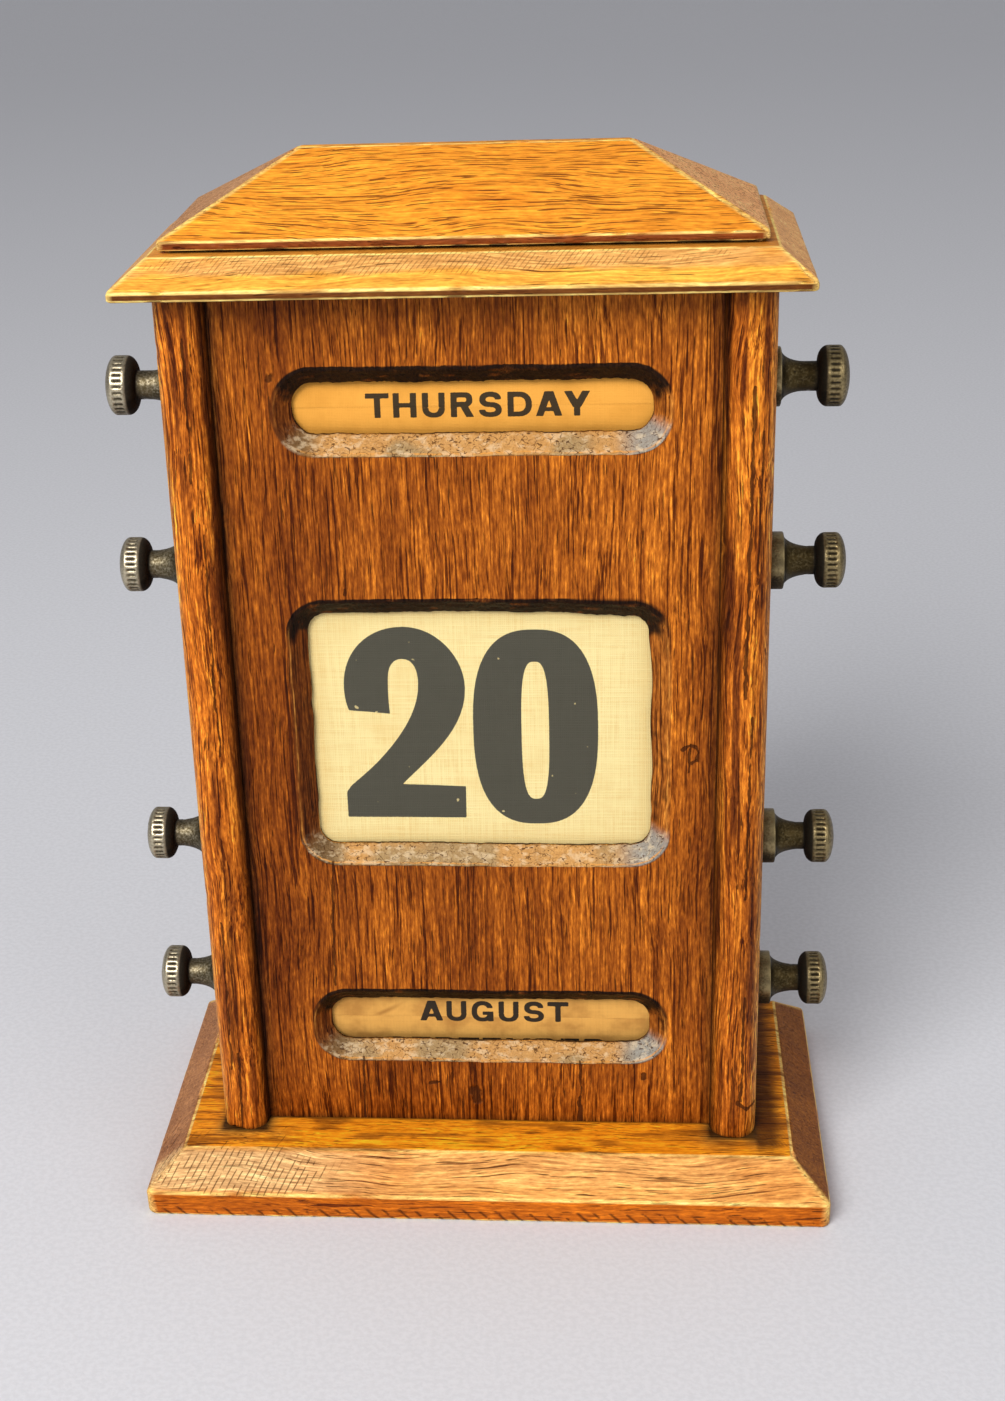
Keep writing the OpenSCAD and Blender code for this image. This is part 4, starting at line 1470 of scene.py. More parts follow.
    def cell_faces(self, ring: RoundedRing, rows: Array) -> Array:
        """Quads between the rings, with the closing row only along the panel's own sides."""
        panel = node_box("front_panel")
        faces = grid_quads(len(rows), ring.count, close_rows=True)
        corners = rows.reshape(-1, 3)[faces]
        limits = [(axis, end[axis]) for axis in (0, 2) for end in (panel.low, panel.high)]
        outside = np.any([(np.abs(corners[..., i] - at) < 1e-6).all(axis=1) for i, at in limits], axis=0)
        closing = np.arange(len(faces)) >= (len(rows) - 1) * ring.count
        return faces[~closing | outside]

    def carve(self, made: Surface, bevel: Array, centre: Array, height: float) -> None:
        """Lets a window's outline wander and roughens its bevels, then tints the cell.

        Args:
            made: the cell.
            bevel: 1 on the window's bevel and 0 elsewhere.
            centre: middle of the window.
            height: height of the window.
        """
        p, round_from = made.points, 9
        away = p[:, [0, 2]] - centre[[0, 2]]
        straight = (self.window_w / 2 - round_from, max(height / 2 - round_from, 0.5))
        inner = np.maximum(np.abs(away) - straight, 0) * np.sign(away)
        out = inner / np.maximum(np.linalg.norm(inner, axis=1), 1e-9)[:, None]
        wander = 0.18 * lattice_noise(p * (1, 0, 1), 9.0, 71) + 0.14 * lattice_noise(p * (1, 0, 1), 2.8, 72)
        rough = 0.24 * np.abs(lattice_noise(p, 0.9, 73)) * smoothstep(np.abs(out[:, 1]), 0.3, 0.8)
        chips = 0.5 * patches(p, 2.2, 74, 0.35, 0.9) * made.values["arris"]
        corner = np.exp(-((away[:, 0] - 27) ** 2 + (away[:, 1] - height / 2 + 4) ** 2) / 60) * (height > 30)
        p[:, [0, 2]] += out * (bevel * (wander + rough + chips - corner))[:, None]
        self.tint_cell(made, bevel, away[:, 0], out[:, 1])

    def tint_cell(self, made: Surface, bevel: Array, aside: Array, up: Array) -> None:
        """Tints a cell of the front panel.

        The bevels above and below a window cut through the grain, so they are rough and pale below; above they are
        painted nearly black as shade. The side bevels are painted darker on the left as shade and lighter on the
        right as light, the land, the panel's sides and its foot get painted shade, and the worn arris gets a
        painted highlight on the lower edges.

        Args:
            made: the cell.
            bevel: 1 on the window's bevel and 0 elsewhere.
            aside: how far right of the window's middle each point is.
            up: how far up the window's outline faces there.
        """
        panel, p, arris = node_box("front_panel"), made.points, made.values["arris"]
        x, y, z = p.T
        right_of = x - panel.centre[0]
        across = 2 * right_of / panel.size[0]
        # Lighter towards the right and towards the top.
        light = 0.84 + 0.24 * across + 0.2 * lattice_noise(p * (1, 1, 0.35), 9.0, 75)
        light += 0.22 * smoothstep(z, 60, 165)
        below = bevel * smoothstep(-up, 0.3, 0.75)
        above = bevel * smoothstep(up + 0.3 * lattice_noise(p, 1.6, 80), -0.1, 0.45)
        half = self.window_w / 2
        right = bevel * smoothstep(aside, half - 11, half - 5) * smoothstep(-up, 0.1, 0.5)
        left = bevel * smoothstep(-aside, half - 9, half - 4) * smoothstep(-up, 0.0, 0.4)
        beside = bevel * (1 - np.maximum(below, above)) * (1 - right)
        land_y = panel.high[1] - self.bevel_land
        land = smoothstep(y, land_y - 0.12, land_y + 0.05)
        edge = np.maximum(panel.size[0] / 2 - self.groove[0] - np.abs(right_of), 0)
        shadow = np.exp(-edge / 0.9) * np.where(across < 0, 0.9, 0.6)
        shadow = np.maximum(shadow, 0.6 * np.exp(-(z - panel.low[2])))
        strip = arris * patches(p, 4.0, 79, -0.6, 0.4) * smoothstep(-up, -0.6, 0.6)
        made.values["tint"] = layered(
            np.array(self.panel_tone) * light[:, None] ** (1, 1.25, 1.4),
            ((0.54, 0.275, 0.085), below),
            ((0.33, 0.22, 0.10), 0.85 * below * patches(p, 6.0, 78, -0.1, 0.4)),
            ((0.28, 0.27, 0.24), 0.9 * right),
            # Painted shade on the lower left corner of the bevel.
            ((0.07, 0.03, 0.01), 0.7 * left),
            # Painted shade: the upper bevels face down and are painted nearly black, with a few brown patches.
            ((0.008, 0.003, 0.001), 0.98 * above),
            ((0.12, 0.03, 0.004), 0.8 * above * patches(p * (0.45, 1, 1), 1.1, 82, 0.4, 0.8)),
            # Painted shade on the left side bevels and painted light on the right ones, which face the light.
            ((0.11, 0.028, 0.004), 0.85 * beside * (aside < 0)),
            ((0.40, 0.13, 0.018), 0.6 * beside * (aside > 0)),
            # Painted shade on the window's land, by the panel's sides and at its foot.
            (self.painted_shade_tone, 0.95 * bevel * land),
            (self.painted_shade_tone, shadow * (1 - bevel)),
            # Worn arris with a painted highlight, kept to the lower edges that face up.
            (self.arris_wear_and_highlight_tone, 0.8 * strip),
        )
        made.values["pores"] = 1 - np.maximum(0.6 * arris, 0.97 * below)
        made.values["torn"] = np.clip(below + right, 0, 1) * (1 - land)

    def panel_surface(self) -> Surface:
        """The three window cells, joined where their borders meet."""
        panel = node_box("front_panel")
        centres = [opening_centre(name) for name, _ in self.windows]
        heights = [height for _, height in self.windows]
        tops = [centre[2] + height / 2 for centre, height in zip(centres, heights)]
        feet = [centre[2] - height / 2 for centre, height in zip(centres, heights)]
        between = [(top + foot) / 2 for top, foot in zip(tops, feet[1:])]
        limits = [panel.low[2], *between, panel.high[2]]
        cells = [self.window_cell(*sizes) for sizes in zip(centres, heights, limits, limits[1:])]
        return joined(cells).welded().turned_outwards()

    def back_surface(self) -> Surface:
        """Flat board with rounded arrises: rings of a rounded rectangle from its face to its back."""
        box = node_box("back_panel")
        face, back = box.low[1], box.high[1]
        corners = np.array([[12.0, face], [0, face], [0, back], [12.0, back]])
        path, arris, _ = rounded_path(corners, [0.3, 0.3], 1.5, 4)
        ring = RoundedRing(*(round(size / 1.4) for size in box.size[::2]), 5)
        half_x, half_z = (size / 2 - path[:, 0] for size in box.size[::2])
        flat = ring.rows(half_x, half_z, np.full(len(path), 0.25)) + box.centre[::2]
        made = capped_rows(stretched(flat, path[:, 1], 1))
        made = worn(made, columns(arris, ring.count).ravel(), 0.25, 0.02, 83)
        made.values["tint"] = layered(
            self.back_tone,
            ((0.20, 0.055, 0.01), patches(made.points * (1, 1, 0.3), 12.0, 84, 0.0, 0.8)),
            ((0.60, 0.28, 0.08), 0.6 * made.values["arris"]),
        )
        made.values["pores"] = np.ones(len(made.points))
        return made

    def panel_cracks(self) -> tuple[Mark, ...]:
        """Cracks from the windows' corners and the panel's foot, dark spots and a ring."""
        y = float(node_box("front_panel").low[1])
        trails = (
            (0.3, (-28.75, 71.0), (-29.7, 43.3)),
            (0.34, (-24.7, 31.6), (-25.3, 12.0)),
            (0.26, (18.7, 29.7), (18.9, 15.0)),
            (0.8, (18.8, 17.5), (18.8, 11.6)),
            (1.9, (-2.3, 17.0), (-2.2, 18.6)),
            (0.5, (38.6, 95.3), (39.5, 96.1), (41.0, 95.8), (41.7, 94.5), (41.3, 93.0), (40.3, 92.4)),
            (0.36, (39.9, 96.3), (39.8, 90.8)),
            (0.9, (-34.6, 167.2), (-34.4, 167.8)),
            (0.7, (31.4, 23.2), (31.6, 22.2)),
            (0.45, (-11.4, 20.5), (-9.5, 20.6)),
            (0.5, (-23.4, 127.6), (-23.3, 126.6)),
        )
        return trail_marks(trails, lambda x, z: (x, y, z))

    def post_cracks(self, side: Side) -> tuple[Mark, ...]:
        """Long shakes in the round nose of a post, on its surface, and a knot by the right one's foot."""
        box = node_box("right_side_board")
        middle = side.value * float(box.centre[0])

        def place(dx: float, z: float) -> Point:
            """Point of the nose at a distance across from its middle."""
            sunk = self.nose_r - math.sqrt(self.nose_r**2 - dx**2)
            return (middle + dx, float(box.low[1]) + sunk, z)

        left = (
            (0.3, (-1.6, 26), (-1.1, 60)),
            (0.3, (1.4, 96), (1.9, 140)),
            (0.3, (-0.5, 12), (0.0, 30)),
            (0.3, (0.6, 150), (1.1, 176)),
        )
        right = (
            (0.42, (0.2, 108), (0.7, 166)),
            (0.36, (2.0, 130), (2.5, 158)),
            (0.32, (1.2, 66), (1.7, 104)),
            (0.4, (1.4, 20.5), (1.6, 44)),
            (0.6, (0.9, 20.0), (2.6, 18.0), (4.2, 18.6)),
        )
        return trail_marks(left if side is Side.LEFT else right, place)

    def build(self) -> None:
        """Makes and dresses the four boards."""
        for side, seat in ((Side.LEFT, (12, 40, 7)), (Side.RIGHT, (77, 5, 52))):
            name = f"{side.name.lower()}_side"
            looks = {"pores": 0.62, "streaks": 0.72, "contrast": 1.35, "cracks": self.post_cracks(side)}
            material = WoodFinish(f"{name}_oak", Grain.ALONG_Z, seat, **looks).material()
            made = self.side_surface(side)
            make_piece(f"{name}_oak", made, f"{name}_board", material, self.side_tools(side))
        looks = {"pores": 0.55, "streaks": 0.7, "bend": 0.5, "contrast": 1.25, "torn": True}
        looks["cracks"] = self.panel_cracks()
        material = WoodFinish("front_panel_oak", Grain.ALONG_Z, (3, 21, 64), **looks).material()
        make_piece("front_panel_oak", self.panel_surface(), "front_panel", material)
        looks = {"pores": 0.6, "streaks": 0.4, "roughness": (0.6, 0.85)}
        material = WoodFinish("back_panel_oak", Grain.ALONG_Z, (55, 9, 28), **looks).material()
        tools = self.back_screw_tools(right_only=False)
        make_piece("back_panel_oak", self.back_surface(), "back_panel", material, tools)


# ---- Lettering ----


@dataclass(frozen=True)
class Lettering:
    """Bold grotesque capitals as distances from the edge of the ink, positive inside it.

    The height of a capital is 1. The methods for kinds of stroke take places as arrays x and y.

    Attributes:
        stem: width of an upright stroke.
        bar: width of a level stroke.
        gap: space between letters.
        kern: how much closer A, T, V, W and Y stand.
        power: how square the round letters are.
    """

    stem: float = 0.245
    bar: float = 0.205
    gap: float = 0.225
    kern: float = 0.07
    power: float = 2.3

    def box(self, x: Array, y: Array, x0: float, x1: float, y0: float = 0.0, y1: float = 1.0) -> Array:
        """Rectangle."""
        return np.minimum(np.minimum(x - x0, x1 - x), np.minimum(y - y0, y1 - y))

    def slant(self, x: Array, y: Array, foot: float, head: float, y0: float = 0.0, y1: float = 1.0) -> Array:
        """Sloping stroke with level ends, between the middles of its foot and its head."""
        run = (head - foot) / (y1 - y0)
        away = np.abs(x - foot - (y - y0) * run) / math.hypot(1, run)
        return np.minimum(self.stem * 0.56 - away, np.minimum(y - y0, y1 - y))

    def oval(self, x: Array, y: Array, cx: float, cy: float, rx: float, ry: float) -> Array:
        """Superellipse: the distance is taken along the line from its middle."""
        dx, dy = x - cx, y - cy
        f = (np.abs(dx / rx) ** self.power + np.abs(dy / ry) ** self.power) ** (1 / self.power)
        return np.hypot(dx, dy) * (1 - f) / np.maximum(f, 0.05)

    def ring(self, x: Array, y: Array, cx: float, cy: float, rx: float, ry: float) -> Array:
        """Oval with an oval hole that leaves a stem at its sides and a bar above and below."""
        hole = self.oval(x, y, cx, cy, rx - self.stem, ry - self.bar)
        return np.minimum(self.oval(x, y, cx, cy, rx, ry), -hole)

    def hook(self, x: Array, y: Array, ring: Sequence[float], cut: Sequence[float]) -> Array:
        """Ring with a rectangle cut out of it; each is given by its four sizes."""
        return np.minimum(self.ring(x, y, *ring), -self.box(x, y, *cut))

    def bowl(self, x: Array, y: Array, right: float, y0: float, y1: float) -> Array:
        """Bowl of B, D, P or R: two bars that a half oval joins on the right."""
        half, cy = (y1 - y0) / 2, (y0 + y1) / 2
        cx = right - min(half * 1.05, right * 0.55)
        shapes = []
        for stem, bar in ((0, 0), (self.stem, self.bar)):
            cap = self.oval(x, y, cx, cy, right - cx - stem, half - bar)
            bars = self.box(x, y, 0, cx, y0 + bar, y1 - bar)
            shapes.append(np.maximum(bars, np.minimum(cap, x - cx + 0.02)))
        return np.minimum(shapes[0], -shapes[1])

    def strokes(self) -> dict[str, tuple]:
        """Each capital's width and its strokes, a stroke being one of the methods and its sizes."""
        s, b, e, far = self.stem, self.bar, 0.56 * self.stem, math.inf
        box, slant, ring, hook, bowl = self.box, self.slant, self.ring, self.hook, self.bowl
        stem, head, foot = (box, 0, s), (box, 0, 0.82, 1 - b, 1), (box, 0, 0.82, 0, b)
        middle = (box, 0, 0.82 * 0.92, 0.5 - b / 2, 0.5 + b / 2)
        c = (hook, (0.485, 0.5, 0.485, 0.51), (0.97 * 0.56, far, 0.33, 0.67))
        above, p_bowl = (-far, far, 0.4, far), (bowl, 0.86, 0.42, 1)
        s_head = (hook, (0.445, 0.705, 0.425, 0.305), (0.445, far, -far, 0.7))
        s_foot = (hook, (0.445, 0.295, 0.445, 0.305), (-far, 0.445, 0.3, far))
        return {
            "A": (1.02, (slant, e, 0.48), (slant, 1.02 - e, 0.54), (box, 0.25, 0.77, 0.2, 0.2 + 0.8 * b)),
            "B": (0.9, stem, (bowl, 0.86, 0.5 - b / 2, 1), (bowl, 0.9, 0, 0.5 + b / 2)),
            "C": (0.97, c),
            "D": (0.95, stem, (bowl, 0.95, 0, 1)),
            "E": (0.82, stem, head, middle, foot),
            "F": (0.82, stem, head, middle),
            "G": (0.97, c, (box, 0.485, 0.97, 0.33, 0.33 + 0.85 * b), (box, 0.97 - s, 0.97, 0, 0.5)),
            "H": (0.92, stem, (box, 0.92 - s, 0.92), (box, 0, 0.92, 0.42, 0.42 + 0.9 * b)),
            "I": (s, stem),
            "J": (0.74, (hook, (0.37, 0.4, 0.37, 0.41), above), (box, 0.74 - s, 0.74, 0.4, 1)),
            "L": (0.82, stem, foot),
            "M": (1.08, stem, (box, 1.08 - s, 1.08), (slant, 0.54, 0.6 * s), (slant, 0.54, 1.08 - 0.6 * s)),
            "N": (0.93, stem, (box, 0.93 - s, 0.93), (slant, 0.93 - 0.6 * s, 0.6 * s)),
            "O": (0.98, (ring, 0.49, 0.5, 0.49, 0.51)),
            "P": (0.88, stem, p_bowl),
            "R": (0.88, stem, p_bowl, (slant, 0.88 - 0.5 * s, 0.5, 0, 0.5)),
            "S": (0.89, s_head, s_foot),
            "T": (0.93, (box, 0, 0.93, 1 - b, 1), (box, (0.93 - s) / 2, (0.93 + s) / 2)),
            "U": (
                0.89,
                (hook, (0.445, 0.4, 0.445, 0.41), above),
                (box, 0.89 - s, 0.89, 0.4, 1),
                (box, 0, s, 0.4, 1),
            ),
            "V": (0.98, (slant, 0.49, e), (slant, 0.49, 0.98 - e)),
            "W": (
                1.34,
                (slant, 0.335, e),
                (slant, 0.335, 0.67),
                (slant, 1.005, 0.67),
                (slant, 1.005, 1.34 - e),
            ),
            "Y": (
                0.98,
                (slant, 0.49, e, 0.36, 1),
                (slant, 0.49, 0.98 - e, 0.36, 1),
                (box, (0.98 - s) / 2, (0.98 + s) / 2, 0, 0.46),
            ),
        }

    def space(self, before: str, after: str) -> float:
        """Space between two letters."""
        return self.gap - self.kern * ((before in "ATVWY") + (after in "ATVWY"))

    def name(self, word: str, x: Array, y: Array) -> Array:
        """Distances for a name centred on x = 0, with its middle at y = 0, in heights of a capital."""
        letters = [self.strokes()[letter] for letter in word]
        steps = [width + self.space(*pair) for (width, *_), pair in zip(letters, zip(word, word[1:]))]
        at = np.cumsum([0, *steps]) - (sum(steps) + letters[-1][0]) / 2
        ink = np.full(x.shape, -1.0)
        for start, (_, *strokes) in zip(at, letters):
            for kind, *sizes in strokes:
                ink = np.maximum(ink, kind(x - start, y + 0.5, *sizes))
        return ink


def bezier(points: Sequence[tuple[float, float]], steps: int = 14) -> Array:
    """Points of a chain of cubic curves, without its first one.

    Args:
        points: control points; every third one ends a curve and starts the next.
        steps: points on each curve.
    """
    p = np.array(points, float)
    a, b, c, d = p[:-1:3], p[1::3], p[2::3], p[3::3]
    t = np.linspace(0, 1, steps + 1)[1:, None, None]
    curves = (1 - t) ** 3 * a + 3 * t * (1 - t) ** 2 * b + 3 * t * t * (1 - t) * c + t**3 * d
    return curves.transpose(1, 0, 2).reshape(-1, 2)


def edge_distance(x: Array, y: Array, loop: Array) -> Array:
    """Distance to a closed outline, positive inside it.

    The distance is the least one to its segments, and a place is inside if a ray from it to the right
    crosses the outline an odd number of times.
    """
    near = np.full(x.shape, np.inf)
    inside = np.zeros(x.shape, bool)
    for a, b in zip(loop, np.roll(loop, -1, axis=0), strict=True):
        d = b - a
        t = np.clip(((x - a[0]) * d[0] + (y - a[1]) * d[1]) / max(float(d @ d), 1e-12), 0, 1)
        near = np.minimum(near, np.hypot(x - a[0] - t * d[0], y - a[1] - t * d[1]))
        if a[1] != b[1]:
            crosses = (a[1] > y) != (b[1] > y)
            inside ^= crosses & (x < a[0] + (y - a[1]) * d[0] / d[1])
    return np.where(inside, near, -near)


@dataclass(frozen=True)
class DateFigures:
    """The figures 2 and 0 of the date on show, as outlines in millimetres."""

    zero_middle: tuple[float, float] = (11.07, 97.98)
    zero_half: tuple[float, float] = (11.8, 20.15)
    hole_middle: tuple[float, float] = (11.02, 97.4)
    hole_half: tuple[float, float] = (2.6, 14.25)

    def two(self) -> Array:
        """Outline of the 2: a foot, a sweeping back, a round head and a cut terminal."""
        foot = [(-25.5, 84.5), (-25.5, 79.1), (-2.55, 79.05), (-2.45, 85.8), (-14.6, 86.2)]
        back = [foot[-1], (-9.9, 91.3), (-2.0, 97.6), (-2.04, 106.4)]
        back += [(-2.04, 112.8), (-7.2, 118.75), (-13.4, 118.75)]
        back += [(-20.4, 118.75), (-24.95, 113.3), (-24.95, 106.6)]
        back += [(-24.95, 104.7), (-24.7, 103.1), (-24.2, 101.75)]
        inner = [(-16.4, 101.05), (-16.6, 103.0), (-16.65, 106.0), (-16.5, 108.4)]
        inner += [(-16.4, 111.0), (-15.3, 112.25), (-13.75, 112.25)]
        inner += [(-11.9, 112.25), (-10.85, 110.6), (-10.85, 107.4)]
        inner += [(-10.85, 101.2), (-15.3, 95.4), (-18.6, 91.6)]
        inner += [(-20.8, 89.1), (-23.4, 87.0), (-24.6, 85.8)]
        return np.concatenate([foot, bezier(back), inner[:1], bezier(inner)])

    def oval(self, middle: tuple[float, float], half: tuple[float, float], power: float) -> Array:
        """Superellipse: (|cos u|^(2/power), |sin u|^(2/power)) times the half sizes."""
        u = np.linspace(0, 2 * math.pi, 120, endpoint=False)
        turn = np.stack([np.cos(u), np.sin(u)], axis=1)
        return np.sign(turn) * np.abs(turn) ** (2 / power) * half + np.array(middle)

    def ink(self, x: Array, z: Array) -> Array:
        """Distance from the edge of the ink at each place, positive inside it."""
        zero = edge_distance(x, z, self.oval(self.zero_middle, self.zero_half, 2.6))
        hole = edge_distance(x, z, self.oval(self.hole_middle, self.hole_half, 3.0))
        return np.maximum(edge_distance(x, z, self.two()), np.minimum(zero, -hole))


# ---- Bands and tape ----

WEEKDAYS = "THURSDAY FRIDAY SATURDAY SUNDAY MONDAY TUESDAY WEDNESDAY".split()
MONTHS = "AUGUST SEPTEMBER OCTOBER NOVEMBER DECEMBER JANUARY FEBRUARY MARCH APRIL MAY JUNE JULY".split()


def cloth_surface(
    outer: Array, inner: Array, along: Array, ink: Array, grime: Array, close: bool
) -> Surface:
    """Thin cloth whose rows are closed loops: the outer face's points, then the two edges of its back.

    Args:
        outer: array of rows, points across and three coordinates.
        inner: array of rows, two points and three coordinates: the back's ends, last one first.
        along: how far along the cloth each row is; with X it makes the UV map.
        ink: the ink's distance at each point of the outer face.
        grime: how dark each point of the outer face is made: dirt, and on the date tape also painted shadow.
        close: whether the last row meets the first one, as on a drum.

    Returns:
        The surface with the values ink, grime and cloth.
    """
    rows = np.concatenate([outer, inner], axis=1)
    count, wide = rows.shape[:2]
    if close:
        made = Surface(rows.reshape(-1, 3), [grid_quads(count, wide, close_rows=True)]).turned_outwards()
    else:
        made = capped_rows(rows)
    back = ((0, 0), (0, 2))
    made.values["ink"] = np.pad(ink, back, constant_values=-1.0).ravel()
    made.values["grime"] = np.pad(grime, back).ravel()
    made.values["cloth"] = np.stack([rows[..., 0], columns(along, wide)], axis=-1).reshape(-1, 2)
    return made


@dataclass
class NameBand:
    """Linen band with printed names round a drum.

    Attributes:
        node: the CAD node that it stands for.
        joint: the drum's joint.
        names: the names, the one on show first, then down the drum.
        shift: how far the name on show lies right of and above the middle of its window.
        text_half: half the width that the names may take.
        fine: distance between points under the names.
        finish: its cloth and print.
        drum: the node of its drum.
        stained: how dark the stain left of the name on show is.
        capital: height of a capital.
        slack: how far the cloth stands off the CAD's surface.
        second_low: how much the second name is too low.
    """

    node: str
    joint: str
    names: Sequence[str]
    shift: tuple[float, float]
    text_half: float
    fine: float
    finish: LinenFinish
    drum: str
    stained: float = 0.0
    capital: float = 4.55
    slack: float = 0.06
    second_low: float = 0.55
    coarse: float = 1.6
    letters: Lettering = Lettering()

    def surface(self) -> Surface:
        """Cylinder of rows along X, with the ink's distance at each point.

        The height on the cloth is v = r (pi - angle), so it rises at the front, where the angle is pi.
        """
        box = node_box(self.node)
        _, y0, z0 = joint_place(self.joint)
        radius, inner_r = box.size[1] / 2, node_box(self.drum).size[1] / 2
        around = 2 * math.pi * radius
        pitch, rise = around / len(self.names), self.shift[1]
        reach = self.capital / 2 + 0.45
        spans = [(k * pitch + rise - reach, k * pitch + rise + reach) for k in range(-1, len(self.names) + 1)]
        v = graded(0.0, around, spans, self.fine, self.coarse)[:-1]
        middle = box.centre[0] + self.shift[0]
        spans = [(middle - self.text_half, middle + self.text_half)]
        x = graded(box.low[0], box.high[0], spans, self.fine, self.coarse)
        grid_x, grid_v = np.meshgrid(x, v)
        ends = np.repeat([[box.high[0], box.low[0]]], len(v), axis=0)
        noise = lattice_noise(np.stack([grid_x, grid_v, 0 * grid_x], -1).reshape(-1, 3), 7.0, 91)
        noise = noise.reshape(grid_x.shape)
        turn = (math.pi - v / radius)[:, None]
        outer, inner = (
            np.stack([across, y0 + r * np.cos(turn), z0 + r * np.sin(turn)], -1)
            for across, r in ((grid_x, radius - self.slack + self.slack * noise), (ends, inner_r + 0 * ends))
        )
        edge = np.minimum(grid_x - box.low[0], box.high[0] - grid_x)
        beside = grid_x - box.centre[0] + 21.5
        crease = grid_v - rise + 0.4 - 0.5 * beside + 0.5 * noise
        stain = self.stained * np.exp(-((crease / 0.6) ** 2) - (beside / 3.2) ** 2)
        ink = self.ink(grid_x - middle, grid_v, around)
        return cloth_surface(outer, inner, v, ink, 0.5 * np.exp(-edge / 2.0) + stain, close=True)

    def ink(self, x: Array, v: Array, around: float) -> Array:
        """The names on the cloth unrolled, each a pitch below the last."""
        pitch = around / len(self.names)
        ink = np.full(x.shape, -1.0)
        for k, name in enumerate(self.names):
            drop = self.second_low if k == 1 else 0.0
            up = (v + k * pitch - self.shift[1] + drop + around / 2) % around - around / 2
            near = np.abs(up[:, 0]) < self.capital
            shape = self.letters.name(name, x[near] / self.capital, up[near] / self.capital)
            ink[near] = np.maximum(ink[near], shape * self.capital)
        return ink

    def build(self) -> None:
        size = node_box(self.node).size
        name = self.node.replace("band", "cloth")
        piece = make_piece(name, self.surface(), self.node, self.finish.material())


